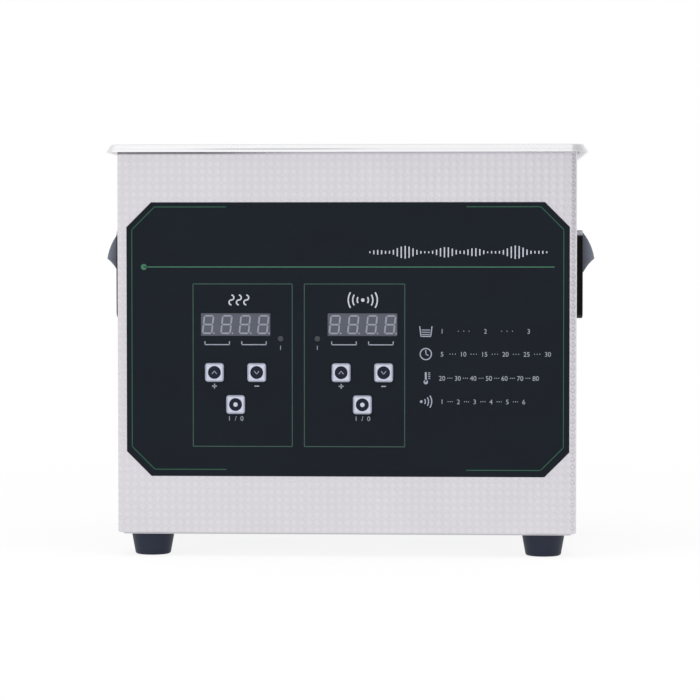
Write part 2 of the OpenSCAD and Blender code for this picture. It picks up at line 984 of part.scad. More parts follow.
module control_board_screws() {
  color("gray")
    for (p = spacer_places)
      translate([p[0], board_back, p[1]])
        rotate([-90, 0, 0])
          screw(board_screw_d, board_screw_len, board_screw_head_d, board_screw_head_h);
}

// section of a hood, its x counted from the plate's face: roof arc on top, blunt tip, hollow arc below
module hood_section() {
  difference() {
    intersection() {
      translate([roof_centre[0] - handle_plate_t, roof_centre[1]])
        circle(roof_r);
      translate([0, hood_low])
        square([handle_out - handle_plate_t, roof_a[1] - hood_low]);
    }
    translate([hood_hollow_r - hood_bite, hood_low])
      circle(hood_hollow_r);
  }
}

// section of the finger space: under the roof, and open below its lip
module finger_section() {
  intersection() {
    translate(roof_centre)
      circle(roof_r - hood_t);
    translate([pocket_floor_t, pocket_low])
      square([handle_out, pocket_top - pocket_low]);
  }
  translate([pocket_floor_t, pocket_low])
    square([2 * handle_out, hood_lip_z - pocket_low]);
}

// a handle on the right side: plate, hood with turned ends, finger space and screw bores
module handle_solid() {
  translate([side_x, 0, handle_z])
    difference() {
      union() {
        rotate([90, 0, 90])
          union() {
            swept_ring(handle_len, handle_h, handle_corner_r)
              union() {
                square([handle_corner_r - handle_edge_r, handle_plate_t]);
                square([handle_corner_r, handle_plate_t - handle_edge_r]);
                translate([handle_corner_r - handle_edge_r, handle_plate_t - handle_edge_r])
                  quarter_disc(handle_edge_r);
              }
            translate([0, 0, handle_plate_t / 2])
              cube([handle_len - 2 * handle_corner_r, handle_h - 2 * handle_corner_r, handle_plate_t],
                center = true);
          }
        translate([handle_plate_t, 0, 0])
          rotate([90, 0, 0])
            linear_extrude(hood_len, center = true)
              hood_section();
        for (end = [0, 1])
          mirror([0, end, 0])
            translate([handle_plate_t, hood_len / 2, 0])
              rotate_extrude(angle = 90)
                hood_section();
      }
      rotate([90, 0, 0])
        linear_extrude(2 * cavity_half, center = true)
          finger_section();
      for (sy = [-1, 1])
        translate([-over, sy * handle_screw_y, handle_screw_z])
          rotate([0, 90, 0])
            cylinder(d = m3_d + 2 * run_fit, h = handle_screw_in + over);
    }
}

module right_handle() {
  color("black")
    handle_solid();
}

module left_handle() {
  color("black")
    mirror([1, 0, 0])
      handle_solid();
}

module handle_screws() {
  color("gray")
    for (side = [-1, 1], sy = [-1, 1])
      translate([side * wall_in_x, sy * handle_screw_y, handle_z + handle_screw_z])
        rotate([0, -side * 90, 0])
          screw(m3_d, handle_screw_in, m3_head_d, handle_head_h);
}

// puts its children on both transducer axes
module at_transducers() {
  for (side = [-1, 1])
    translate([side * transducer_dx, 0, 0])
      children();
}

module transducer_front_masses() {
  color("lightgray")
    at_transducers()
      difference() {
        translate([0, 0, horn_low])
          cylinder(d1 = piezo_d, d2 = horn_d, h = horn_h);
        translate([0, 0, horn_low - over])
          cylinder(d = bolt_d + 2 * bolt_gap, h = bolt_in + 2 * over);
      }
}

module piezo_rings() {
  color("tan")
    at_transducers()
      for (z = [ring_a_low, ring_b_low])
        translate([0, 0, z])
          difference() {
            cylinder(d = piezo_d, h = piezo_t);
            translate([0, 0, -over])
              cylinder(d = piezo_bore_d, h = piezo_t + 2 * over);
          }
}

module electrode_plates() {
  color("goldenrod")
    at_transducers()
      for (z = [plate_a_low, plate_b_low])
        translate([0, 0, z])
          linear_extrude(electrode_t)
            difference() {
              union() {
                circle(d = piezo_d);
                translate([0, piezo_d / 2])
                  square([tab_w, 2 * tab_len], center = true);
              }
              circle(d = piezo_bore_d);
            }
}

module transducer_back_masses() {
  color("gray")
    at_transducers()
      translate([0, 0, back_low])
        difference() {
          cylinder(d = piezo_d, h = back_mass_h);
          translate([0, 0, -over])
            cylinder(d = bolt_d + 2 * bolt_gap, h = back_mass_h + 2 * over);
        }
}

module transducer_bolts() {
  color("dimgray")
    at_transducers()
      union() {
        translate([0, 0, back_low - bolt_head_h])
          cylinder(d = bolt_head_d, h = bolt_head_h, $fn = 6);
        translate([0, 0, back_low - bolt_head_h / 2])
          cylinder(d = bolt_d, h = horn_low + bolt_in - back_low + bolt_head_h / 2);
      }
}

module heater_pad() {
  color("orangered")
    translate([-heater_half, tank_in_d / 2 + tank_t, heater_z0])
      cube([2 * heater_half, heater_t, heater_z1 - heater_z0]);
}

module thermal_cutout() {
  cup_low = tank_under - cutout_cup_h;
  color("saddlebrown")
    union() {
      translate([0, 0, cup_low])
        cylinder(d = cutout_cup_d, h = cutout_cup_h);
      translate([0, 0, cup_low - cutout_h])
        cylinder(d = cutout_d, h = cutout_h);
      for (side = [-1, 1])
        translate([side * blade_dx, 0, cup_low - cutout_h - blade_len / 2])
          cube([blade_t, blade_w, blade_len], center = true);
    }
}

module temperature_probe() {
  color("goldenrod")
    translate([0, probe_y, tank_under - probe_block[2] / 2])
      union() {
        cube(probe_block, center = true);
        rotate([-90, 0, 0])
          cylinder(d = probe_d, h = probe_len);
      }
}

module generator_board() {
  color("darkgreen")
    translate([0, 0, gen_z])
      linear_extrude(gen_t)
        difference() {
          translate([gen_x, gen_y])
            square([gen_len, gen_w], center = true);
          for (p = gen_places)
            translate(p)
              circle(d = m3_d + screw_gap);
        }
}

module board_pillars() {
  color("goldenrod")
    for (p = gen_places)
      translate([p[0], p[1], base_top])
        difference() {
          cylinder(d = pillar_d, h = pillar_h);
          translate([0, 0, over])
            cylinder(d = m3_d + 2 * run_fit, h = pillar_h);
        }
}

module board_screws() {
  color("gray")
    for (p = gen_places)
      translate([p[0], p[1], gen_top])
        screw(m3_d, gen_screw_len, m3_head_d, m3_head_h);
}

module heat_sink() {
  pitch = (sink_w - sink_fin) / (sink_fins - 1);
  color("dimgray")
    translate([sink_x - sink_w / 2, sink_y, gen_top])
      linear_extrude(sink_h)
        union() {
          square([sink_w, sink_base]);
          for (i = [0 : sink_fins - 1])
            translate([i * pitch, 0])
              square([sink_fin, sink_deep]);
        }
}

module power_transistors() {
  color("black")
    for (side = [-1, 1])
      translate([sink_x + side * to_dx, sink_y - to_body[1] / 2, gen_top])
        union() {
          translate([0, 0, to_leg[2] + to_body[2] / 2])
            cube(to_body, center = true);
          for (leg = [-1, 0, 1])
            translate([leg * to_leg_pitch - to_leg[0] / 2, -to_leg[1] / 2, 0])
              cube([to_leg[0], to_leg[1], to_leg[2] + over]);
        }
}

// ferrite core: a frame with a middle limb
module transformer_core() {
  w = core_size[0];
  h = core_size[2];
  win_w = (w - 3 * core_frame) / 2;
  color("dimgray")
    translate([core_x, core_y, gen_top])
      rotate([90, 0, 0])
        linear_extrude(core_size[1], center = true)
          difference() {
            translate([-w / 2, 0])
              square([w, h]);
            for (side = [-1, 1])
              translate([side * (core_frame + win_w) / 2 - win_w / 2, core_frame])
                square([win_w, h - 2 * core_frame]);
          }
}

// winding round the middle limb of the core
module transformer_coil() {
  win_w = (core_size[0] - 3 * core_frame) / 2;
  out_w = core_frame + 2 * win_w - 2 * fit;
  out_d = core_size[1] + 2 * coil_wall;
  color("peru")
    translate([core_x, core_y, gen_top + core_frame + fit])
      linear_extrude(core_size[2] - 2 * core_frame - 2 * fit)
        difference() {
          square([out_w, out_d], center = true);
          square([core_frame + 2 * fit, core_size[1] + 2 * fit], center = true);
        }
}

module tuning_coil() {
  color("peru")
    translate([ring_x, ring_y, gen_top + ring_half])
      rotate_extrude()
        translate([ring_r, 0])
          rounded_rect(2 * ring_half, 2 * ring_half, ring_edge);
}

module filter_capacitors() {
  r = capacitor_d / 2;
  color("navy")
    for (x = capacitor_xs)
      translate([x, capacitor_y, gen_top])
        rotate_extrude()
          union() {
            square([r, capacitor_h - capacitor_edge]);
            square([r - capacitor_edge, capacitor_h]);
            translate([r - capacitor_edge, capacitor_h - capacitor_edge])
              quarter_disc(capacitor_edge);
          }
}

module mains_fuse() {
  color("lightgray")
    translate([fuse_x, fuse_y, gen_top + fuse_up])
      rotate([-90, 0, 0])
        union() {
          cylinder(d = fuse_d, h = fuse_len, center = true);
          for (end = [-1, 1])
            translate([0, 0, end * (fuse_len - fuse_cap_len) / 2])
              cylinder(d = fuse_cap_d, h = fuse_cap_len, center = true);
        }
}

// a spring clip under each cap of the fuse
module fuse_clips() {
  inner = fuse_cap_d / 2 + run_fit;
  outer = inner + clip_t;
  color("goldenrod")
    for (end = [-1, 1])
      translate([fuse_x, fuse_y + end * (fuse_len - fuse_cap_len) / 2, gen_top])
        rotate([90, 0, 0])
          linear_extrude(fuse_cap_len - over, center = true)
            difference() {
              union() {
                translate([-outer, 0])
                  square([2 * outer, fuse_up]);
                translate([0, fuse_up])
                  circle(outer);
              }
              translate([0, fuse_up])
                circle(inner);
              translate([-fuse_d / 2, fuse_up])
                square([fuse_d, fuse_d]);
            }
}

module fan_frame() {
  tube_end = fan_rear - fan_gap - fan_cup_t - fan_gap;
  color("dimgray")
    difference() {
      union() {
        from_front(fan_front, fan_deep)
          translate([fan_x, fan_z])
            difference() {
              rounded_rect(fan_size, fan_size, fan_corner_r);
              circle(d = fan_bore_d);
            }
        bar_y(fan_x, fan_z, fan_hub_d, fan_front, fan_front + fan_back_t);
        bar_y(fan_x, fan_z, fan_tube_d, fan_front, tube_end);
        for (turn = [45, 135])
          translate([fan_x, fan_front + fan_back_t / 2, fan_z])
            rotate([0, turn, 0])
              cube([fan_bore_d + 2 * over, fan_back_t, fan_arm_w], center = true);
      }
      bar_y(fan_x, fan_z, fan_shaft_d + 2 * run_fit, fan_front + fan_back_t / 2, fan_rear);
      for (sx = [-1, 1], sz = [-1, 1])
        bar_y(fan_x + sx * fan_hole_pitch / 2, fan_z + sz * fan_hole_pitch / 2, fan_hole_d,
          fan_front - over, fan_rear + over);
    }
}

// rotor: a cup over the bearing tube, its shaft and the tilted blades
module fan_rotor() {
  cup_front = fan_front + fan_back_t + fan_gap;
  cup_rear = fan_rear - fan_gap;
  tip_r = fan_bore_d / 2 - fan_gap;
  cup_r = fan_hub_d / 2;
  color("black")
    union() {
      difference() {
        bar_y(fan_x, fan_z, fan_hub_d, cup_front, cup_rear);
        bar_y(fan_x, fan_z, fan_hub_d - 2 * fan_cup_t, cup_front - over, cup_rear - fan_cup_t);
      }
      bar_y(fan_x, fan_z, fan_shaft_d, fan_front + fan_back_t, cup_rear - fan_cup_t / 2);
      intersection() {
        difference() {
          bar_y(fan_x, fan_z, 2 * tip_r, cup_front, cup_rear);
          bar_y(fan_x, fan_z, 2 * cup_r - fan_cup_t, cup_front - over, cup_rear + over);
        }
        translate([fan_x, (cup_front + cup_rear) / 2, fan_z])
          for (i = [0 : fan_blades - 1])
            rotate([0, i * 360 / fan_blades, 0])
              rotate([fan_blade_tilt, 0, 0])
                translate([0, -fan_deep, -fan_blade_t / 2])
                  cube([fan_size, 2 * fan_deep, fan_blade_t]);
      }
    }
}

module fan_screws() {
  color("gray")
    for (sx = [-1, 1], sz = [-1, 1])
      translate([fan_x + sx * fan_hole_pitch / 2, panel_rear_y, fan_z + sz * fan_hole_pitch / 2])
        rotate([-90, 0, 0])
          screw(fan_screw_d, fan_screw_len, fan_head_d, fan_head_h);
}

// socket shape with two cut corners, seen from the front
module socket_outline() {
  x = inlet_hole[0] / 2;
  z = inlet_hole[1] / 2;
  polygon([[-x, -z], [x, -z], [x, z - inlet_cut], [x - inlet_cut, z], [-x + inlet_cut, z],
    [-x, z - inlet_cut]]);
}

// places of the three pins in the socket
pin_places = [[-pin_dx, -pin_dz], [pin_dx, -pin_dz], [0, pin_dz]];

module power_inlet() {
  color("black")
    difference() {
      union() {
        from_front(panel_rear_y, inlet_flange_t)
          translate([mains_x, inlet_z])
            rounded_rect(inlet_flange[0], inlet_flange[1], inlet_flange_r);
        from_front(inlet_floor_y - inlet_floor_t, inlet_face - inlet_floor_y)
          translate([mains_x, inlet_z])
            square(inlet_body, center = true);
      }
      from_front(inlet_floor_y, inlet_deep + over)
        translate([mains_x, inlet_z])
          socket_outline();
      from_front(inlet_floor_y - inlet_floor_t - over, inlet_floor_t + 2 * over)
        for (p = pin_places)
          translate([mains_x + p[0], inlet_z + p[1]])
            square([pin_w + 2 * run_fit, pin_t + 2 * run_fit], center = true);
      for (sx = [-1, 1])
        translate([mains_x + sx * inlet_screw_dx, inlet_face, inlet_z])
          rotate([90, 0, 0])
            union() {
              translate([0, 0, -over])
                cylinder(d = m3_d + screw_gap, h = inlet_flange_t + 2 * over);
              cylinder(d1 = m3_head_d + screw_gap, d2 = m3_d + screw_gap, h = inlet_head_h);
            }
    }
}

module inlet_pins() {
  color("gold")
    for (p = pin_places)
      from_front(inlet_floor_y - inlet_floor_t - pin_tail, inlet_floor_t + pin_tail + inlet_deep - pin_tip)
        translate([mains_x + p[0], inlet_z + p[1]])
          square([pin_w, pin_t], center = true);
}

module inlet_screws() {
  color("gray")
    for (sx = [-1, 1])
      translate([mains_x + sx * inlet_screw_dx, inlet_face, inlet_z])
        rotate([90, 0, 0])
          difference() {
            union() {
              cylinder(d1 = m3_head_d, d2 = m3_d, h = inlet_head_h);
              cylinder(d = m3_d, h = inlet_screw_len);
            }
            rotate([180, 0, 0])
              cross_recess(m3_head_d, inlet_head_h / 2);
          }
}

module switch_body() {
  rear = panel_rear_y - body_deep;
  color("black")
    difference() {
      union() {
        from_front(panel_rear_y, bezel_t)
          translate([mains_x, switch_z])
            rounded_rect(bezel[0], bezel[1], bezel_r);
        from_front(rear, body_deep + bezel_t / 2)
          translate([mains_x, switch_z])
            square(body_size, center = true);
        for (up = [-tag_dz, 0, tag_dz])
          translate([mains_x, rear - tag_len / 2 + over / 2, switch_z + up])
            cube([tag_w, tag_len + over, tag_t], center = true);
      }
      from_front(well_floor_y, panel_rear_y + bezel_t + over - well_floor_y)
        translate([mains_x, switch_z])
          square([well_w, well_h], center = true);
      translate([mains_x, pivot_y, switch_z])
        rotate([0, 90, 0])
          cylinder(d = pivot_d + 2 * run_fit, h = well_w + 2 * pivot_len + 2 * fit, center = true);
    }
}

// section of the rocker across its pivot: a dished face over a hub
module rocker_section() {
  polygon([[0, -rocker_half], [0, rocker_half], [rocker_tall, rocker_half], [rocker_tall - rocker_dip, 0],
    [rocker_tall, -rocker_half]]);
  circle(rocker_hub_r);
}

module switch_rocker() {
  color("black")
    translate([mains_x, pivot_y, switch_z])
      rotate([-rocker_tilt, 0, 0])
        union() {
          rotate([90, 0, 90])
            linear_extrude(rocker_w, center = true)
              rocker_section();
          rotate([0, 90, 0])
            cylinder(d = pivot_d, h = well_w + 2 * pivot_len, center = true);
        }
}

case_wrap();
rear_panel();
rear_panel_screws();
base_plate();
base_screws();
foot(-1, -1);  // front_left_foot
foot(1, -1);  // front_right_foot
foot(-1, 1);  // rear_left_foot
foot(1, 1);  // rear_right_foot
foot_screws();
foot_nuts();
tank();
rim_seal();
control_panel();
display(heat_x);  // heat_display
display(time_x);  // time_display
lamp(-1);  // heat_lamp
lamp(1);  // ultrasonic_lamp
key(heat_x - arrow_pitch / 2, arrow_z);  // temperature_up_key
key(heat_x + arrow_pitch / 2, arrow_z);  // temperature_down_key
key(heat_x, power_z);  // heat_power_key
key(time_x - arrow_pitch / 2, arrow_z);  // time_up_key
key(time_x + arrow_pitch / 2, arrow_z);  // time_down_key
key(time_x, power_z);  // ultrasonic_power_key
tact_switches();
control_board();
control_board_spacers();
control_board_screws();
left_handle();
right_handle();
handle_screws();
transducer_front_masses();
piezo_rings();
electrode_plates();
transducer_back_masses();
transducer_bolts();
heater_pad();
thermal_cutout();
temperature_probe();
generator_board();
board_pillars();
board_screws();
heat_sink();
power_transistors();
transformer_core();
transformer_coil();
tuning_coil();
filter_capacitors();
mains_fuse();
fuse_clips();
fan_frame();
fan_rotor();
fan_screws();
power_inlet();
inlet_pins();
inlet_screws();
switch_body();
switch_rocker();
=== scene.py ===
import json
import math

import bmesh
import bpy
from mathutils import Matrix, Vector


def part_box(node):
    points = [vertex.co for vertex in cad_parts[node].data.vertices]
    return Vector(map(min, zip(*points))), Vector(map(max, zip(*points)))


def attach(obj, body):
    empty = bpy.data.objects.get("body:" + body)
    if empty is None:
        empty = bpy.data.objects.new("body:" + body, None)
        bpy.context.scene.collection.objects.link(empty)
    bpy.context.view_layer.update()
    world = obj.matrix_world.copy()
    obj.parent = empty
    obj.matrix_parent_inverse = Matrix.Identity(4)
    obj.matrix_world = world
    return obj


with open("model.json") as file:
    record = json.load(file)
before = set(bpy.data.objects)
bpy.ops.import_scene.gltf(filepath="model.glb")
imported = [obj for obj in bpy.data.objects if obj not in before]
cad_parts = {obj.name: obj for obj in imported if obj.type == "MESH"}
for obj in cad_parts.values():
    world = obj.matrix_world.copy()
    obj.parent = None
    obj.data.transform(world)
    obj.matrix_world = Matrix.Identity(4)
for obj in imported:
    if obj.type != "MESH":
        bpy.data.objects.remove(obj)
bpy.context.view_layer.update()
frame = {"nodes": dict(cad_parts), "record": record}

MM = 0.001
FULL_TURN = math.tau
KEYS = ("temperature_up_key", "temperature_down_key", "heat_power_key", "time_up_key", "time_down_key",
        "ultrasonic_power_key")
POWER_KEYS = [node for node in KEYS if "power" in node]
STEP_KEYS = [node for node in KEYS if "power" not in node]
DISPLAYS = ("heat_display", "time_display")
LAMPS = ("heat_lamp", "ultrasonic_lamp")


def middle_of(node):
    low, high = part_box(node)
    return (low + high) / 2


def front_of(node):
    """Middle of a node's front face."""
    low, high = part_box(node)
    return Vector(((low.x + high.x) / 2, low.y, (low.z + high.z) / 2))


def placed(name, data):
    """A new object of the scene."""
    made = bpy.data.objects.new(name, data)
    bpy.context.scene.collection.objects.link(made)
    return made


def mesh_from(shape, name, material):
    mesh = bpy.data.meshes.new(name)
    shape.to_mesh(mesh)
    shape.free()
    mesh.materials.append(material)
    return mesh


# Finishes


class Level:
    """A number that changes over a surface. Sums on it become nodes of its graph."""

    def __init__(self, graph, socket):
        self.graph = graph
        self.socket = socket

    def step(self, operation, *entries):
        return self.graph.node("ShaderNodeMath", {"operation": operation}, dict(enumerate(entries)))

    def __add__(self, other):
        return self.step("ADD", self, other)

    def __radd__(self, other):
        return self.step("ADD", other, self)

    def __sub__(self, other):
        return self.step("SUBTRACT", self, other)

    def __rsub__(self, other):
        return self.step("SUBTRACT", other, self)

    def __mul__(self, other):
        return self.step("MULTIPLY", self, other)

    def __rmul__(self, other):
        return self.step("MULTIPLY", other, self)

    def __truediv__(self, other):
        return self.step("DIVIDE", self, other)

    def __rtruediv__(self, other):
        return self.step("DIVIDE", other, self)

    def __neg__(self):
        return self.step("MULTIPLY", self, -1.0)

    def cos(self):
        return self.step("COSINE", self)

    def size(self):
        return self.step("ABSOLUTE", self)

    def at_most(self, limit):
        return self.step("MINIMUM", self, limit)

    def at_least(self, limit):
        return self.step("MAXIMUM", self, limit)

    def rise(self, low, high):
        """0 below low, 1 above high, and a smooth climb between them."""
        settings = {"interpolation_type": "SMOOTHSTEP"}
        return self.graph.node("ShaderNodeMapRange", settings, {0: self, 1: low, 2: high})


class Graph:
    """The nodes of a finish or of the sky."""

    def __init__(self, tree):
        self.tree = tree

    def feed(self, socket, value):
        if isinstance(value, Level):
            self.tree.links.new(value.socket, socket)
        else:
            socket.default_value = value

    def node(self, kind, settings, sockets, out=0):
        made = self.tree.nodes.new(kind)
        for field, value in settings.items():
            setattr(made, field, value)
        for key, value in sockets.items():
            self.feed(made.inputs[key], value)
        return Level(self, made.outputs[out])

    def parts(self, place):
        """The x, y and z of a place or a direction."""
        return [self.node("ShaderNodeSeparateXYZ", {}, {0: place}, way) for way in "XYZ"]

    def is_ray(self, kind):
        return self.node("ShaderNodeLightPath", {}, {}, "Is %s Ray" % kind)

    def seen(self):
        """1 where the camera or a reflection looks, 0 where light is only gathered."""
        return (self.is_ray("Camera") + self.is_ray("Glossy") + self.is_ray("Transmission")).at_most(1.0)


class Finish(Graph):
    """A material that is built up from readings of the piece's own coordinates."""

    def __init__(self, name):
        self.material = bpy.data.materials.new(name)
        self.material.use_nodes = True
        super().__init__(self.material.node_tree)
        self.shader = self.tree.nodes["Principled BSDF"]
        self.place = self.node("ShaderNodeTexCoord", {}, {}, "Object")

    def axes(self):
        return self.parts(self.place)

    def grain(self, per_metre, detail=2.0, stretch=None):
        """Cloudy noise from 0 to 1 with about that many patches in a metre."""
        place = self.place
        if stretch:
            place = self.node("ShaderNodeMapping", {}, {"Vector": place, "Scale": stretch})
        return self.node("ShaderNodeTexNoise", {}, {"Vector": place, "Scale": per_metre, "Detail": detail})

    def cells(self, per_metre):
        """Distance from the middle of the nearest of many cells."""
        return self.node("ShaderNodeTexVoronoi", {}, {"Vector": self.place, "Scale": per_metre}, "Distance")

    def colour(self, amount, low, high):
        return self.node("ShaderNodeMix", {"data_type": "RGBA"}, {0: amount, 6: low, 7: high}, 2)

    def relief(self, height, deep, strength=1.0):
        """Surface normal of a relief of that depth in millimetres."""
        sockets = {"Strength": strength, "Distance": deep * MM, "Height": height}
        return self.node("ShaderNodeBump", {}, sockets, "Normal")

    def surface(self, sockets):
        for key, value in sockets.items():
            self.feed(self.shader.inputs[key], value)
        return self.material


def tone(red, green, blue):
    """A display colour, 0 to 255, as a shader's linear colour."""
    parts = [c / 255 for c in (red, green, blue)]
    linear = [c / 12.92 if c <= 0.04045 else ((c + 0.055) / 1.055) ** 2.4 for c in parts]
    return (*linear, 1.0)


# Embossed sheet: pads on a square grid in millimetres, where their flanks start and end on the
# grid's wave from -1 to 1, and the height of the dots between them
PAD_PITCH, PAD_SHIFT = 4.1, (0.1, 2.5)
PAD_FLANK, DOT_FLANK, DOT_SHARE = (-0.25, 0.5), (0.5, 0.9), 0.5

# Painted shadow under the lip: depths below the lip in millimetres, then metres to the left and the front
LIP_DROP, LIP_SHADOW_FAINT, LIP_SHADOW_FULL = 4.2, 1.5, 0.4
LIP_SHADOW_LEFT, LIP_SHADOW_FRONT = (0.015, 0.085), (0.07, 0.075)


def embossed_steel(name, pressed):
    """Bright case sheet with round pads in rows 4 mm apart and a small dot between every four.

    The finish presses them itself by that share where the sheet's own shape is plain. A painted
    shadow darkens the sheet under the left half of the tank's front lip.
    """
    f = Finish(name)
    x, y, z = f.axes()
    turns = FULL_TURN / (PAD_PITCH * MM)
    columns = ((x + y - PAD_SHIFT[0] * MM) * turns).cos()
    rows = ((z - PAD_SHIFT[1] * MM) * turns).cos()
    high = (columns + rows) * 0.5
    pads = high.rise(*PAD_FLANK) + (-high).rise(*DOT_FLANK) * DOT_SHARE
    cloud = f.grain(35.0, 3.0)
    fine = f.grain(3000.0)
    # the pads' tops are painted a little lighter than the sheet between them, a painted highlight
    plain = f.colour(pads * 0.35 + cloud * 0.65, tone(211, 208, 214), tone(224, 221, 227))
    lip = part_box("tank")[1].z - LIP_DROP * MM
    # painted shadow: the colour darkens in the gap under the left half of the tank's front lip
    gap = z.rise(lip - LIP_SHADOW_FAINT * MM, lip - LIP_SHADOW_FULL * MM) * (-x).rise(*LIP_SHADOW_LEFT) * (-y).rise(*LIP_SHADOW_FRONT)
    return f.surface({
        "Base Color": f.colour(gap * 0.75, plain, tone(60, 58, 64)),
        "Metallic": 0.9,
        "Roughness": 0.2 + fine * 0.05 + cloud * 0.04,
        "Normal": f.relief(pads * pressed + fine * 0.02, 0.05),
    })


def plain_steel():
    """Sheet with the fine straight lines of a brushed roll."""
    f = Finish("plain_steel")
    lines = f.grain(900.0, 3.0, (0.03, 1.0, 1.0))
    cloud = f.grain(25.0, 3.0)
    return f.surface({
        "Base Color": f.colour(lines * 0.5 + cloud * 0.5, tone(186, 186, 190), tone(208, 208, 212)),
        "Metallic": 0.95,
        "Roughness": 0.32 + lines * 0.12,
        "Normal": f.relief(lines, 0.01, 0.5),
    })


# Painted dark reflection along the crease of the lip, in millimetres: below the rim, half its width and
# its soft edge, and how far it reaches back from the lip's front. It is darkest around a middle, in metres
CREASE_DROP, CREASE_HALF, CREASE_SOFT, CREASE_BACK = 2.65, 0.5, 0.35, (2.4, 2.0)
REFLECTION_DARKEST_X, REFLECTION_DARKEST_HALF, REFLECTION_DARKEST_SOFT = -0.035, 0.065, 0.05


def tank_steel():
    """Bright drawn sheet: faint draw lines, a soft haze and a painted dark reflection along the lip's crease.
    """
    f = Finish("tank_steel")
    x, y, z = f.axes()
    low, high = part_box("tank")
    line = (CREASE_HALF * MM - (z - high.z + CREASE_DROP * MM).size()).rise(0.0, CREASE_SOFT * MM)
    at_front = (-y).rise(*(-low.y - back * MM for back in CREASE_BACK))
    darkest_reflection = (REFLECTION_DARKEST_HALF - (x - REFLECTION_DARKEST_X).size()).rise(0.0, REFLECTION_DARKEST_SOFT)
    # painted reflection: a thin dark line along the lip's crease, darkest left of the middle
    dulling_and_painted_reflection = line * at_front * (0.06 + darkest_reflection * 0.4)
    draw = f.grain(700.0, 2.0, (1.0, 1.0, 0.03))
    haze = f.grain(18.0, 4.0)
    plain = f.colour(haze * 0.6 + draw * 0.4, tone(243, 243, 245), tone(253, 253, 254))
    return f.surface({
        "Base Color": f.colour(dulling_and_painted_reflection, plain, tone(90, 88, 94)),
        "Metallic": 0.95,
        "Roughness": 0.22 + haze * 0.1 + draw * 0.04,
        "Normal": f.relief(draw, 0.006, 0.5),
    })


def moulded(name, dark, light, rough, grain_mm, deep, level=0.5):
    """Moulded rubber or plastic with a spark-eroded grain, deep in millimetres, and a slight bloom."""
    f = Finish(name)
    grain = f.grain(1000.0 / grain_mm, 3.0)
    bloom = f.grain(40.0, 3.0)
    return f.surface({
        "Base Color": f.colour(grain * 0.35 + bloom * 0.65, dark, light),
        "Roughness": rough + bloom * 0.1 - grain * 0.05,
        "Specular IOR Level": level,
        "Normal": f.relief(grain, deep),
    })


# Handle in millimetres: its plate's thickness and corner radius, and where the hood's finish starts
HANDLE_PLATE, HANDLE_CORNER, HOOD_START = 4.2, 4.0, (0.05, 0.3)
# share of the painted highlight on the plate's lower corners
LOWER_HIGHLIGHT = 0.4


def handle_moulding():
    """Black moulding: deep black plate with painted highlights at its corners, a paler grained hood painted
    lighter outward.
    """
    f = Finish("handle_black")
    x, y, z = f.axes()
    low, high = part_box("right_handle")
    middle = (low + high) / 2
    corner = HANDLE_CORNER * MM
    plate_face = low.x + HANDLE_PLATE * MM
    hood = x.size().rise(*(plate_face + start * MM for start in HOOD_START))
    past_end = ((y - middle.y).size() - (high.y - middle.y - corner)).at_least(0.0)
    past_head = (z - (high.z - corner)).at_least(0.0)
    past_foot = (low.z + corner - z).at_least(0.0)
    # painted highlights on the plate's rounded corners, fainter on the lower ones
    past_corner = past_end * (past_head + past_foot * LOWER_HIGHLIGHT) * (2.0 / corner ** 2)
    painted_edge_shading = past_corner.rise(0.3, 1.0) * (1.0 - hood)
    grain = f.grain(1800.0, 3.0)
    bloom = f.grain(40.0, 3.0)
    # the hood is painted lighter towards its outer edge: painted light over its paler grey
    out = x.size().rise(plate_face, high.x)
    shade = hood * (0.5 + out * 0.3 + bloom * 0.14 + grain * 0.06)
    plain = f.colour(shade, tone(12, 13, 15), tone(112, 117, 130))
    return f.surface({
        "Base Color": f.colour(painted_edge_shading, plain, tone(176, 178, 188)),
        "Roughness": 0.3 + hood * 0.16 + bloom * 0.06,
        "Specular IOR Level": 0.08,
        "Normal": f.relief(grain * hood, 0.04),
    })


# Half of a key's width and the band along its edge that is painted darker as shade, in millimetres
KEY_HALF, KEY_EDGE_SHADE = 5.05, (1.3, 0.1)


def key_cap(node):
    """Pale moulded cap with painted shade along its edge."""
    f = Finish(node + "_grey")
    x, _, z = f.axes()
    middle = middle_of(node)
    from_middle = (x - middle.x).size().at_least((z - middle.z).size())
    # painted shade: the cap's face darkens towards its edge
    painted_edge_shading = from_middle.rise(*((KEY_HALF - inward) * MM for inward in KEY_EDGE_SHADE))
    grain = f.grain(4000.0, 3.0)
    bloom = f.grain(60.0, 3.0)
    shade = painted_edge_shading * 0.75 + bloom * 0.15 + grain * 0.1
    return f.surface({
        "Base Color": f.colour(shade, tone(204, 208, 224), tone(120, 126, 144)),
        "Roughness": 0.42 + bloom * 0.1 - grain * 0.05,
        "Specular IOR Level": 0.3,
        "Normal": f.relief(grain, 0.012),
    })


def panel_film():
    """Satin black film: a very fine even texture and a faint cloud from wiping."""
    f = Finish("panel_black")
    texture = f.cells(4500.0)
    wipe = f.grain(22.0, 4.0, (1.0, 1.0, 2.2))
    return f.surface({
        "Base Color": f.colour(wipe, tone(21, 26, 33), tone(26, 32, 39)),
        "Roughness": 0.42 + wipe * 0.12,
        "Specular IOR Level": 0.08,
        "Normal": f.relief(texture, 0.01, 0.6),
    })


def display_face():
    """Grey plastic face of an unlit display."""
    f = Finish("display_grey")
    speck = f.grain(2600.0)
    cloud = f.grain(60.0)
    return f.surface({
        "Base Color": f.colour(speck * 0.4 + cloud * 0.6, tone(80, 84, 95), tone(92, 96, 107)),
        "Roughness": 0.38 + speck * 0.1,
        "Specular IOR Level": 0.2,
        "Normal": f.relief(speck, 0.006),
    })


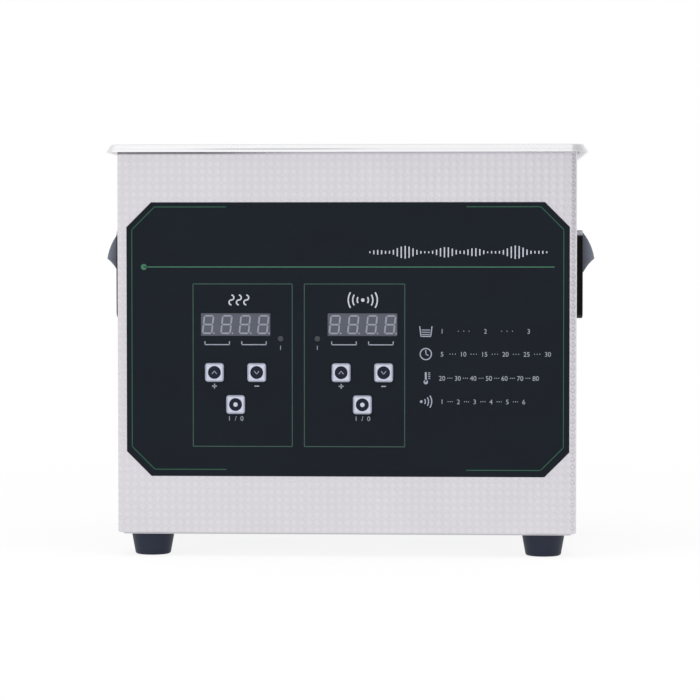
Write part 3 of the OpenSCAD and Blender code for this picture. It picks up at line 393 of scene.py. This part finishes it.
def printed_ink(name, thin, thick):
    """Matt screen print whose weight of ink varies a little."""
    f = Finish(name)
    weight = f.grain(1400.0, 3.0)
    cloud = f.grain(90.0)
    return f.surface({
        "Base Color": f.colour(weight * 0.6 + cloud * 0.4, thin, thick),
        "Roughness": 0.5 + weight * 0.12,
        "Specular IOR Level": 0.2,
        "Normal": f.relief(weight, 0.008),
    })


def turned_metal(name, dark, light, rough):
    """Machined metal with fine turning marks, dulled in patches."""
    f = Finish(name)
    marks = f.grain(2600.0, 2.0, (0.25, 0.25, 1.0))
    dulling_and_painted_reflection = f.grain(120.0, 3.0)
    return f.surface({
        "Base Color": f.colour(marks * 0.5 + dulling_and_painted_reflection * 0.5, dark, light),
        "Metallic": 1.0,
        "Roughness": rough + dulling_and_painted_reflection * 0.14,
        "Normal": f.relief(marks, 0.01),
    })


# Millimetres from one copper run, turn of wire or thread of cloth to the next
RUN_PITCH, WIRE_PITCH, CLOTH_PITCH = 2.54, 0.9, 1.2


def circuit_board():
    """Green solder mask over fine copper runs, with the glass weave just showing."""
    f = Finish("board_green")
    x, y, z = f.axes()
    turns = FULL_TURN / (RUN_PITCH * MM)
    runs = ((x * turns).cos() * ((y + z) * turns).cos()).rise(0.2, 0.45)
    patch = f.grain(90.0, 1.0).rise(0.45, 0.52)
    weave = f.grain(2400.0)
    return f.surface({
        "Base Color": f.colour(runs * patch, tone(22, 70, 44), tone(50, 112, 70)),
        "Roughness": 0.3 + weave * 0.1,
        "Normal": f.relief(runs * patch + weave * 0.15, 0.03),
    })


def wound_copper():
    """Enamelled wire laid turn on turn."""
    f = Finish("copper_winding")
    x, y, z = f.axes()
    turns = ((z + (x + y) * 0.04) * (FULL_TURN / (WIRE_PITCH * MM))).cos()
    tint = f.grain(300.0)
    shade = turns.rise(-1.0, 0.6) * 0.7 + tint * 0.3
    return f.surface({
        "Base Color": f.colour(shade, tone(96, 44, 22), tone(196, 112, 66)),
        "Metallic": 0.85,
        "Roughness": 0.28 + tint * 0.12,
        "Normal": f.relief(turns, 0.2),
    })


def heater_rubber():
    """Orange-red silicone mat with the print of the cloth it was pressed against."""
    f = Finish("heater_silicone")
    x, _, z = f.axes()
    turns = FULL_TURN / (CLOTH_PITCH * MM)
    weave = (x * turns).cos() * (z * turns).cos()
    cloud = f.grain(50.0)
    return f.surface({
        "Base Color": f.colour(weave * 0.2 + cloud * 0.8, tone(150, 58, 34), tone(184, 78, 46)),
        "Roughness": 0.6 + cloud * 0.15,
        "Normal": f.relief(weave, 0.05),
    })


def cloudy_glass():
    """Glass tube between plated caps, seen as a pale bright cylinder."""
    f = Finish("fuse_glass")
    cloud = f.grain(200.0)
    return f.surface({
        "Base Color": f.colour(cloud, tone(196, 200, 202), tone(222, 226, 228)),
        "Metallic": 0.6,
        "Roughness": 0.15 + cloud * 0.1,
    })


FINISHES = {
    "embossed_steel": embossed_steel("embossed_steel", 1.0),
    "plain_steel": plain_steel(),
    "tank_steel": tank_steel(),
    "seal_rubber": moulded("seal_rubber", tone(198, 199, 202), tone(214, 215, 218), 0.55, 0.4, 0.02, 0.3),
    "foot_rubber": moulded("foot_rubber", tone(24, 31, 49), tone(36, 44, 63), 0.5, 0.5, 0.03, 0.3),
    "panel_black": panel_film(),
    "display_grey": display_face(),
    "lamp_lens": moulded("lamp_lens", tone(52, 55, 60), tone(64, 68, 74), 0.25, 0.6, 0.01, 0.3),
    "handle_black": handle_moulding(),
    "screw_steel": turned_metal("screw_steel", tone(150, 150, 154), tone(196, 196, 200), 0.25),
    "board_green": circuit_board(),
    "aluminium": turned_metal("aluminium", tone(180, 182, 186), tone(212, 214, 217), 0.32),
    "piezo_ceramic": moulded("piezo_ceramic", tone(118, 106, 88), tone(144, 130, 108), 0.6, 0.3, 0.02),
    "brass": turned_metal("brass", tone(170, 132, 62), tone(214, 176, 98), 0.25),
    "mass_steel": turned_metal("mass_steel", tone(128, 130, 134), tone(168, 170, 174), 0.3),
    "heater_silicone": heater_rubber(),
    "cutout_brown": moulded("cutout_brown", tone(66, 40, 26), tone(88, 54, 36), 0.35, 0.6, 0.02),
    "component_black": moulded("component_black", tone(22, 23, 25), tone(34, 35, 38), 0.5, 0.4, 0.03, 0.4),
    "rocker_black": moulded("rocker_black", tone(16, 17, 19), tone(26, 27, 30), 0.3, 0.6, 0.015),
    "ferrite": moulded("ferrite", tone(40, 41, 44), tone(58, 60, 64), 0.45, 0.35, 0.03),
    "copper_winding": wound_copper(),
    "capacitor_sleeve": moulded("capacitor_sleeve", tone(20, 28, 58), tone(32, 42, 78), 0.28, 1.5, 0.02),
    "fuse_glass": cloudy_glass(),
}

slot_of_node = {row["node"]: row["material_slot"] for row in frame["record"]["subparts"]}
for name, node in frame["nodes"].items():
    node.data.materials.clear()
    node.data.materials.append(key_cap(name) if name in KEYS else FINISHES[slot_of_node[name]])

PRESSED_STEEL = embossed_steel("pressed_steel", 0.0)
PALE_INK = printed_ink("pale_ink", tone(176, 181, 192), tone(206, 211, 222))
BORDER_INK = printed_ink("border_ink", tone(42, 85, 66), tone(54, 102, 80))
DIVIDER_INK = printed_ink("divider_ink", tone(58, 106, 82), tone(72, 122, 97))
FRAME_INK = printed_ink("frame_ink", tone(54, 82, 71), tone(68, 98, 86))
LABEL_INK = printed_ink("label_ink", tone(140, 146, 160), tone(168, 174, 188))
NAVY_INK = printed_ink("navy_ink", tone(14, 18, 34), tone(24, 29, 48))
SEGMENT_GREY = printed_ink("segment_grey", tone(136, 140, 153), tone(153, 157, 170))


# Printed and inlaid marks, in millimetres

FRONT = Matrix.Rotation(math.radians(90), 4, "X")
TURNED = {side: Matrix.Rotation(math.radians(turn), 4, "Z") @ FRONT
          for side, turn in (("front", 0), ("right", 90), ("left", -90), ("back", 180))}
FILM, THIN_FILM = 0.04, 0.03
JOINT_SIDES, SMALL_DOT_SIDES, DOT_SIDES, DISC_SIDES = 12, 20, 40, 64
ARC_STEP, ARC_LEAST = 8, 6
CAPITAL_SHARE = 0.73


class Marks:
    """Flat marks on a face, drawn in millimetres: u to the right, v up, and raised by their film."""

    def __init__(self, origin, facing=FRONT, film=FILM):
        self.shape = bmesh.new()
        self.film = film
        self.to_face = Matrix.Translation(origin) @ facing @ Matrix.Scale(MM, 4)

    def bar(self, u0, v0, u1, v1, wide):
        run = Vector((u1 - u0, v1 - v0))
        middle = Matrix.Translation(((u0 + u1) / 2, (v0 + v1) / 2, self.film / 2))
        turn = Matrix.Rotation(math.atan2(run.y, run.x), 4, "Z")
        size = Matrix.Diagonal((run.length, wide, self.film, 1.0))
        bmesh.ops.create_cube(self.shape, size=1.0, matrix=middle @ turn @ size)

    def path(self, points, wide):
        for a, b in zip(points, points[1:]):
            self.bar(*a, *b, wide)
        for p in points[1:-1]:
            self.dot(*p, wide, JOINT_SIDES)

    def box(self, u0, v0, u1, v1, wide):
        self.path([(u0, v0), (u1, v0), (u1, v1), (u0, v1), (u0, v0)], wide)

    def dot(self, u, v, across, sides=DOT_SIDES):
        place = Matrix.Translation((u, v, self.film / 2))
        bmesh.ops.create_cone(self.shape, cap_ends=True, cap_tris=False, segments=sides, radius1=across / 2,
                              radius2=across / 2, depth=self.film, matrix=place)

    def arc(self, u, v, radius, start, sweep, wide):
        """Part of a ring, from start and on by sweep, in degrees counted from +u."""
        place = (Matrix.Translation((u, v, self.film / 2)) @ Matrix.Rotation(math.radians(start), 4, "Z")
                 @ Matrix.Translation((radius, 0, 0)) @ FRONT @ Matrix.Diagonal((wide, self.film, 1.0, 1.0)))
        verts = bmesh.ops.create_grid(self.shape, x_segments=1, y_segments=1, size=0.5, matrix=place)["verts"]
        face = verts[0].link_faces[0]
        geometry = [*face.verts, *face.edges, face]
        ring = abs(sweep) >= 360
        if ring:
            geometry.pop()
            bmesh.ops.delete(self.shape, geom=[face], context="FACES_ONLY")
        bmesh.ops.spin(self.shape, geom=geometry, cent=(u, v, 0), axis=(0, 0, 1), angle=math.radians(sweep),
                       steps=max(ARC_LEAST, int(abs(sweep) / ARC_STEP)), use_merge=ring)

    def words(self, text, u, v, tall):
        """Plain lettering around u whose capitals are that tall, standing on v."""
        curve = bpy.data.curves.new("lettering", "FONT")
        curve.body = text
        curve.size = tall / CAPITAL_SHARE
        curve.align_x = "CENTER"
        curve.extrude = self.film / 2
        writing = placed("lettering", curve)
        bpy.context.view_layer.update()
        flat = bpy.data.meshes.new_from_object(writing.evaluated_get(bpy.context.evaluated_depsgraph_get()))
        flat.transform(Matrix.Translation((u, v, self.film / 2)))
        self.shape.from_mesh(flat)
        bpy.data.objects.remove(writing)
        bpy.data.curves.remove(curve)
        bpy.data.meshes.remove(flat)

    def piece(self, name, body, ink):
        bmesh.ops.recalc_face_normals(self.shape, faces=self.shape.faces)
        self.shape.transform(self.to_face)
        made = placed(name, mesh_from(self.shape, name, ink))
        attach(made, body)


# Pads of the embossed sheet on the flats of front and sides, over the plain solid of the case

PAD_SAMPLES = 4
PAD_STEP = PAD_PITCH / PAD_SAMPLES
PAD_TALL, SHEET_EDGE, SHEET_SUNK = 0.13, 0.01, 0.1
CORNER_CLEAR, BEND_CLEAR, RIM_CLEAR = 3.8, 1.8, 2.0
BEHIND_PANEL = (-114.0, 60.0, 114.0, 175.0)


def smooth_climb(value, low, high):
    share = min(max((value - low) / (high - low), 0.0), 1.0)
    return share * share * (3 - 2 * share)


def pad_height(column, row):
    """Height over the sheet from 0 to 1, in steps counted from a pad's middle."""
    high = sum(math.cos(FULL_TURN * step / PAD_SAMPLES) for step in (column, row)) / 2
    return smooth_climb(high, *PAD_FLANK) + smooth_climb(-high, *DOT_FLANK) * DOT_SHARE


def embossed_sheet(name, side, origin, start, span, hole=None):
    """A closed plate with pads, its back sunk into the case.

    Start is a pad's middle. It, the span and the hole are in millimetres on the sheet.
    """
    sheet = Marks(origin, TURNED[side])
    shape = sheet.shape

    def steps(box):
        return [round((value - start[i % 2]) / PAD_STEP) for i, value in enumerate(box)]

    left, low, right, top = steps(span)
    place = (Matrix.Translation(((left + right) / 2, (low + top) / 2, 0))
             @ Matrix.Diagonal((right - left, top - low, 1.0, 1.0)))
    bmesh.ops.create_grid(shape, x_segments=right - left, y_segments=top - low, size=0.5, matrix=place)
    if hole:
        u0, v0, u1, v1 = steps(hole)
        middles = [(face, face.calc_center_median()) for face in shape.faces]
        inner = [face for face, middle in middles if u0 < middle.x < u1 and v0 < middle.y < v1]
        bmesh.ops.delete(shape, geom=inner, context="FACES")
    for face in shape.faces:
        face.smooth = True
    rim = [e for e in shape.edges if e.is_boundary]
    for edge in rim:
        edge.smooth = False
    flush = {v for edge in rim for v in edge.verts}
    skirt = bmesh.ops.extrude_edge_only(shape, edges=rim)["geom"]
    lowered = {v for v in skirt if isinstance(v, bmesh.types.BMVert)}
    for v in shape.verts:
        column, row = round(v.co.x), round(v.co.y)
        height = SHEET_EDGE if v in flush else PAD_TALL * pad_height(column, row)
        if v in lowered:
            height = -SHEET_SUNK
        v.co = (start[0] + column * PAD_STEP, start[1] + row * PAD_STEP, height)
    back = [e for e in skirt if isinstance(e, bmesh.types.BMEdge) and e.is_boundary]
    bmesh.ops.triangle_fill(shape, use_beauty=False, use_dissolve=False, edges=back, normal=(0, 0, -1))
    sheet.piece(name, "cleaner", PRESSED_STEEL)


case_low, case_high = (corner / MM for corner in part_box("case_wrap"))
sheet_low, sheet_top = case_low.z + BEND_CLEAR, case_high.z - RIM_CLEAR
half_w, half_d = case_high.x - CORNER_CLEAR, case_high.y - CORNER_CLEAR
front_span, side_span = ((-half, sheet_low, half, sheet_top) for half in (half_w, half_d))
embossed_sheet("front_embossed_sheet", "front", Vector((0, case_low.y, 0)) * MM,
               (PAD_SHIFT[0] - case_low.y, PAD_SHIFT[1]), front_span, BEHIND_PANEL)
embossed_sheet("right_embossed_sheet", "right", Vector((case_high.x, 0, 0)) * MM,
               (PAD_SHIFT[0] - case_high.x, PAD_SHIFT[1]), side_span)
embossed_sheet("left_embossed_sheet", "left", Vector((case_low.x, 0, 0)) * MM,
               (case_low.x - PAD_SHIFT[0], PAD_SHIFT[1]), side_span)


# Print on the control panel, in millimetres from the middle of the case and from the floor

panel_face = Vector((0.0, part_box("control_panel")[0].y, 0.0))

BORDER_LEFT, BORDER_RIGHT, BORDER_LOW, BORDER_TOP = -115.3, 116.4, 47.4, 188.5
BORDER_CUT, BORDER_RUN_END, BORDER_WIDE = 12.2, 64.5, 0.42
border = Marks(panel_face)
for side, outer in ((-1, BORDER_LEFT), (1, BORDER_RIGHT)):
    cut = outer - side * BORDER_CUT
    border.path([(side * BORDER_RUN_END, BORDER_TOP), (cut, BORDER_TOP), (outer, BORDER_TOP - BORDER_CUT),
                 (outer, BORDER_LOW + BORDER_CUT), (cut, BORDER_LOW), (side * BORDER_RUN_END, BORDER_LOW)],
                BORDER_WIDE)
border.piece("panel_border_print", "cleaner", BORDER_INK)

DIVIDER_LEFT, DIVIDER_RIGHT, DIVIDER_Z = -108.8, 111.5, 156.3
DIVIDER_WIDE, DIVIDER_DOT = 0.56, 3.2
divider = Marks(panel_face)
divider.bar(DIVIDER_LEFT, DIVIDER_Z, DIVIDER_RIGHT, DIVIDER_Z, DIVIDER_WIDE)
divider.dot(DIVIDER_LEFT, DIVIDER_Z, DIVIDER_DOT)
divider.piece("panel_divider_print", "cleaner", DIVIDER_INK)

FRAME_LOW, FRAME_TOP, FRAME_WIDE = 59.85, 147.2, 0.42
HEAT_FRAME, SOUND_FRAME = (-82.3, -28.9), (-22.4, 31.5)
groups = Marks(panel_face)
for left, right in (HEAT_FRAME, SOUND_FRAME):
    groups.box(left, FRAME_LOW, right, FRAME_TOP, FRAME_WIDE)
groups.piece("group_frame_print", "cleaner", FRAME_INK)

# rising heat over one group, and a source with ripples over the other
HEADING_Z, HEADING_WIDE = 138.6, 0.75
HEAT_X, HEAT_GAP, HEAT_BEND = -57.6, 4.0, 1.3
SOUND_X, SOUND_DOT, SOUND_REACHES, SOUND_SWEEP = 9.0, 1.9, (3.0, 5.4, 7.8), 64
pale = Marks(panel_face)
for shift in (-HEAT_GAP, 0.0, HEAT_GAP):
    for end, start in ((-1, 90), (1, -90)):
        pale.arc(HEAT_X + shift, HEADING_Z + end * HEAT_BEND, HEAT_BEND, start, 180, HEADING_WIDE)
pale.dot(SOUND_X, HEADING_Z, SOUND_DOT)
for reach in SOUND_REACHES:
    for towards in (0, 180):
        pale.arc(SOUND_X, HEADING_Z, reach, towards - SOUND_SWEEP / 2, SOUND_SWEEP, HEADING_WIDE)

# a train of level strokes, as sound is drawn
TRAIN_LEFT, TRAIN_RIGHT, TRAIN_Z, TRAIN_COUNT = 12.8, 107.3, 164.2, 46
TRAIN_LEAST, TRAIN_SWELL, TRAIN_WIDE = 0.9, 6.2, 0.65
for i in range(TRAIN_COUNT):
    t = i / (TRAIN_COUNT - 1)
    swell = abs(math.sin(3 * math.pi * t)) * (0.55 + 0.45 * math.cos(9.7 * math.pi * t))
    tall = TRAIN_LEAST + TRAIN_SWELL * swell
    x = TRAIN_LEFT + (TRAIN_RIGHT - TRAIN_LEFT) * t
    pale.bar(x, TRAIN_Z - tall / 2, x, TRAIN_Z + tall / 2, TRAIN_WIDE)
pale.piece("panel_mark_print", "cleaner", PALE_INK)

# plus and minus, and plain numbers for on and off
SIGN_Z, SIGN_HALF, SIGN_WIDE = 92.3, 1.3, 0.6
NUMBER_TALL, LAMP_NUMBER_TALL = 2.6, 2.4
POWER_NUMBER_Z, LAMP_NUMBER_Z = 73.7, 111.8
labels = Marks(panel_face)
for node in STEP_KEYS:
    x = middle_of(node).x / MM
    labels.bar(x - SIGN_HALF, SIGN_Z, x + SIGN_HALF, SIGN_Z, SIGN_WIDE)
    if "up" in node:
        labels.bar(x, SIGN_Z - SIGN_HALF, x, SIGN_Z + SIGN_HALF, SIGN_WIDE)
for node in POWER_KEYS:
    labels.words("1  /  0", middle_of(node).x / MM, POWER_NUMBER_Z, NUMBER_TALL)
for node in LAMPS:
    labels.words("1", middle_of(node).x / MM, LAMP_NUMBER_Z, LAMP_NUMBER_TALL)

# a bracket under each pair of digits
DIGIT_PITCH, DIGIT_COUNT = 9.9, 4
BRACKET_HALF, BRACKET_LOW, BRACKET_TOP, BRACKET_WIDE = 6.6, 114.6, 116.4, 0.5
for node in DISPLAYS:
    for shift in (-DIGIT_PITCH, DIGIT_PITCH):
        x = middle_of(node).x / MM + shift
        left, right = x - BRACKET_HALF, x + BRACKET_HALF
        labels.path([(left, BRACKET_TOP), (left, BRACKET_LOW), (right, BRACKET_LOW), (right, BRACKET_TOP)],
                    BRACKET_WIDE)

# four rows of plain numbers with dots between them: height, last number's middle, and the numbers
FIRST_X, ROW_DOT = 51.5, 0.5
ROWS = ((122.0, 97.8, range(1, 4)), (109.7, 108.0, range(5, 31, 5)), (96.8, 101.6, range(20, 81, 10)),
        (84.2, 95.2, range(1, 7)))
for z, last_x, numbers in ROWS:
    gap = (last_x - FIRST_X) / (len(numbers) - 1)
    for i, number in enumerate(numbers):
        x = FIRST_X + gap * i
        labels.words(str(number), x, z - NUMBER_TALL / 2, NUMBER_TALL)
        if i:
            for k in (-1, 0, 1):
                labels.dot(x - gap / 2 + k * gap / 8, z, ROW_DOT, JOINT_SIDES)

# a small sign before each row, drawn around its own middle: basin, clock, thermometer and ripples
ROW_SIGN_X = 42.8
BASIN = ((-3.3, 2.6), (-2.6, -2.8), (2.6, -2.8), (3.3, 2.6))
BASIN_LEVELS, LEVEL_HALF, LEVEL_WIDE = (-1.8, -0.6, 0.6), 2.2, 0.45
CLOCK_R, CLOCK_HANDS, HANDS_WIDE = 3.0, ((0.0, 2.1), (0.0, 0.0), (1.4, -0.8)), 0.55
BULB_V, BULB_ACROSS, STEM_LOW, STEM_TOP, STEM_WIDE = -2.1, 2.4, -2.0, 3.2, 1.0
TICKS, TICK_FROM, TICK_TO, TICK_WIDE = (-0.2, 0.8, 1.8, 2.8), 1.3, 2.4, 0.4
SOURCE_U, SOURCE_ACROSS, RIPPLES, RIPPLE_SWEEP = -2.4, 1.5, (2.2, 3.9, 5.6), 70
basin_z, clock_z, heat_z, sound_z = (row[0] for row in ROWS)
labels.path([(ROW_SIGN_X + u, basin_z + v) for u, v in BASIN], SIGN_WIDE)
for v in BASIN_LEVELS:
    labels.bar(ROW_SIGN_X - LEVEL_HALF, basin_z + v, ROW_SIGN_X + LEVEL_HALF, basin_z + v, LEVEL_WIDE)
labels.arc(ROW_SIGN_X, clock_z, CLOCK_R, 0, 360, SIGN_WIDE)
labels.path([(ROW_SIGN_X + u, clock_z + v) for u, v in CLOCK_HANDS], HANDS_WIDE)
labels.dot(ROW_SIGN_X, heat_z + BULB_V, BULB_ACROSS)
labels.bar(ROW_SIGN_X, heat_z + STEM_LOW, ROW_SIGN_X, heat_z + STEM_TOP, STEM_WIDE)
for v in TICKS:
    labels.bar(ROW_SIGN_X + TICK_FROM, heat_z + v, ROW_SIGN_X + TICK_TO, heat_z + v, TICK_WIDE)
labels.dot(ROW_SIGN_X + SOURCE_U, sound_z, SOURCE_ACROSS)
for reach in RIPPLES:
    labels.arc(ROW_SIGN_X + SOURCE_U, sound_z, reach, -RIPPLE_SWEEP / 2, RIPPLE_SWEEP, SIGN_WIDE)
labels.piece("panel_label_print", "cleaner", LABEL_INK)


# Digits of the displays, laid into the sunk segments, and their points

DIGIT_HALF_W, DIGIT_HALF_H = 2.45, 4.7
DIGIT_STROKE, DIGIT_GAP, DIGIT_LEAN = 1.0, 0.12, 0.108
SEGMENT_FIT, SEGMENT_FILM, SEGMENT_SUNK = 0.05, 0.2, 0.24
SEGMENT_WIDE = DIGIT_STROKE - 2 * SEGMENT_FIT
SEGMENT_CLEAR = DIGIT_GAP + SEGMENT_FIT
POINTED = SEGMENT_WIDE * 0.49
POINT_SHIFT, POINT_ACROSS = 3.2, 0.9
digit_middles = [(i - (DIGIT_COUNT - 1) / 2) * DIGIT_PITCH for i in range(DIGIT_COUNT)]
lean = Matrix.Identity(4)
lean[0][1] = DIGIT_LEAN
for node in DISPLAYS:
    name = node.replace("display", "digits")
    digits = Marks(front_of(node) + Vector((0, SEGMENT_SUNK * MM, 0)), film=SEGMENT_FILM)
    level_half = DIGIT_HALF_W - SEGMENT_CLEAR
    for x in digit_middles:
        for up in (-DIGIT_HALF_H, 0.0, DIGIT_HALF_H):
            digits.bar(x - level_half, up, x + level_half, up, SEGMENT_WIDE)
        for side in (-DIGIT_HALF_W, DIGIT_HALF_W):
            for low in (-DIGIT_HALF_H, 0.0):
                top = low + DIGIT_HALF_H
                digits.bar(x + side, low + SEGMENT_CLEAR, x + side, top - SEGMENT_CLEAR, SEGMENT_WIDE)
    edges = [e for e in digits.shape.edges if abs(e.verts[0].co.z - e.verts[1].co.z) > SEGMENT_FILM / 2]
    bmesh.ops.bevel(digits.shape, geom=edges, offset=POINTED, offset_type="OFFSET", affect="EDGES",
                    segments=1, profile=0.5, material=-1)
    digits.shape.transform(lean)
    digits.piece(name, "cleaner", SEGMENT_GREY)
    points = Marks(front_of(node), film=THIN_FILM)
    for x in digit_middles:
        points.dot(x + POINT_SHIFT, -DIGIT_HALF_H, POINT_ACROSS, SMALL_DOT_SIDES)
    points.piece(name + "_points", "cleaner", SEGMENT_GREY)


# Discs and signs on the keys

DISC_SUNK, DISC_FILM, DISC_ACROSS = 0.145, 0.08, 6.9
POWER_DOT = 2.4
CHEVRON_HALF, CHEVRON_TIP, CHEVRON_WIDE = 1.3, 0.8, 0.36
for node in KEYS:
    face = front_of(node)
    disc = Marks(face + Vector((0, DISC_SUNK * MM, 0)), film=DISC_FILM)
    disc.dot(0, 0, DISC_ACROSS, DISC_SIDES)
    disc.piece(node + "_disc", node, NAVY_INK)
    sign = Marks(face + Vector((0, (DISC_SUNK - DISC_FILM) * MM, 0)), film=THIN_FILM)
    if node in POWER_KEYS:
        sign.dot(0, 0, POWER_DOT)
    else:
        tip = CHEVRON_TIP if "up" in node else -CHEVRON_TIP
        sign.path([(-CHEVRON_HALF, -tip), (0, tip), (CHEVRON_HALF, -tip)], CHEVRON_WIDE)
    sign.piece(node + "_sign", node, PALE_INK if node in POWER_KEYS else LABEL_INK)


# Marks on the two halves of the mains rocker, which stands tilted to one side at rest

ROCKER_PIVOT = Vector((70.0, 76.0, 85.0)) * MM
ROCKER_TILT, ROCKER_SLOPE = -11.0, 6.75
HALF_OUT, HALF_UP = 3.75, 3.8
MARK_HALF, MARK_R, MARK_WIDE = 1.4, 1.25, 0.5
tilt = Matrix.Rotation(math.radians(ROCKER_TILT), 4, "X")
for name, up in (("rocker_on_mark", 1), ("rocker_off_mark", -1)):
    slope = Matrix.Rotation(math.radians(-up * ROCKER_SLOPE), 4, "X")
    middle = ROCKER_PIVOT + tilt @ Vector((0, HALF_OUT, up * HALF_UP)) * MM
    mark = Marks(middle, tilt @ slope @ TURNED["back"], THIN_FILM)
    if up > 0:
        mark.bar(0, -MARK_HALF, 0, MARK_HALF, MARK_WIDE)
    else:
        mark.arc(0, 0, MARK_R, 0, 360, MARK_WIDE)
    mark.piece(name, "switch_rocker", PALE_INK)


# Floor, light and camera, in metres, watts and degrees

WHITE = (1.0, 1.0, 1.0, 1.0)
FLOOR_R, FLOOR_SIDES = 6.0, 96
FLOOR_DARK, FLOOR_LIGHT = (0.90, 0.90, 0.90, 1.0), (0.93, 0.93, 0.93, 1.0)
SHADOW_REACH, SHADOW_SHARE = 0.35, 0.14
AMBIENT = 0.62
CARD_GREY, CARD_EDGE, CARD_FRONT = 0.45, (0.03, 0.25), (-0.6, 0.1)
CEILING_GREY, CEILING_EDGE, CEILING_BACK = 0.2, (0.12, 0.45), (0.0, 0.3)
CAMERA_PLACE, CAMERA_DOWN, CAMERA_LEFT = (0.0716, -1.5785, 0.1650), 2.030, 2.653
LENS_MM, SENSOR_MM, CLIP_END = 143.98, 36.0, 50.0


def floor():
    """Pale floor that is seen as white and keeps a faint shadow near the machine."""
    f = Finish("floor")
    x, y, _ = f.axes()
    cloud = f.grain(3.0)
    f.surface({
        "Base Color": f.colour(cloud, FLOOR_DARK, FLOOR_LIGHT),
        "Roughness": 0.9,
        "Specular IOR Level": 0.0,
    })
    far = (x * x + y * y).rise(SHADOW_REACH ** 2, 4 * SHADOW_REACH ** 2)
    white = f.node("ShaderNodeEmission", {}, {"Color": WHITE, "Strength": 1.0})
    share = f.seen() * (1.0 - SHADOW_SHARE + SHADOW_SHARE * far)
    plain = Level(f, f.shader.outputs[0])
    shown = f.node("ShaderNodeMixShader", {}, {0: share, 1: plain, 2: white})
    f.feed(f.tree.nodes["Material Output"].inputs["Surface"], shown)
    shape = bmesh.new()
    bmesh.ops.create_circle(shape, cap_ends=True, segments=FLOOR_SIDES, radius=FLOOR_R)
    made = placed("floor", mesh_from(shape, "floor", f.material))


def studio():
    """Even white room light, at full strength where it is seen. Reflections find a grey card and ceiling."""
    world = bpy.data.worlds.new("studio")
    bpy.context.scene.world = world
    world.use_nodes = True
    sky = Graph(world.node_tree)
    background = world.node_tree.nodes["Background"]
    sky.feed(background.inputs["Color"], WHITE)
    x, y, z = sky.parts(sky.node("ShaderNodeTexCoord", {}, {}, "Generated"))
    card = x.rise(*CARD_EDGE) * (-y).rise(*CARD_FRONT) * CARD_GREY
    ceiling = z.rise(*CEILING_EDGE) * y.rise(*CEILING_BACK) * CEILING_GREY
    light = AMBIENT + (1.0 - AMBIENT) * sky.seen() - (card + ceiling) * sky.is_ray("Glossy")
    sky.feed(background.inputs["Strength"], light)


def softbox(name, place, aim, wide, tall, watts):
    """A rectangular lamp that isn't seen in reflections."""
    lamp = bpy.data.lights.new(name, "AREA")
    lamp.shape = "RECTANGLE"
    lamp.size = wide
    lamp.size_y = tall
    lamp.energy = watts
    made = placed(name, lamp)
    made.location = place
    made.rotation_euler = (Vector(aim) - Vector(place)).to_track_quat("-Z", "Y").to_euler()
    made.visible_glossy = False


def camera():
    """Stands a little to the right, 1.5 m in front of the panel, and looks slightly down."""
    lens = bpy.data.cameras.new("camera")
    lens.lens = LENS_MM
    lens.sensor_width = SENSOR_MM
    lens.clip_end = CLIP_END
    made = placed("camera", lens)
    made.location = CAMERA_PLACE
    made.rotation_euler = (math.radians(90 - CAMERA_DOWN), 0.0, math.radians(CAMERA_LEFT))
    bpy.context.scene.camera = made


floor()
studio()
softbox("top_light", (0.0, -0.35, 1.6), (0.0, 0.0, 0.1), 1.6, 1.2, 14.0)
softbox("left_light", (-1.5, -1.3, 0.9), (0.0, 0.0, 0.12), 0.9, 1.2, 9.0)
softbox("right_light", (1.6, -1.0, 0.8), (0.0, 0.0, 0.12), 0.8, 1.2, 6.0)
camera()

bpy.context.scene.view_settings.view_transform = "Standard"
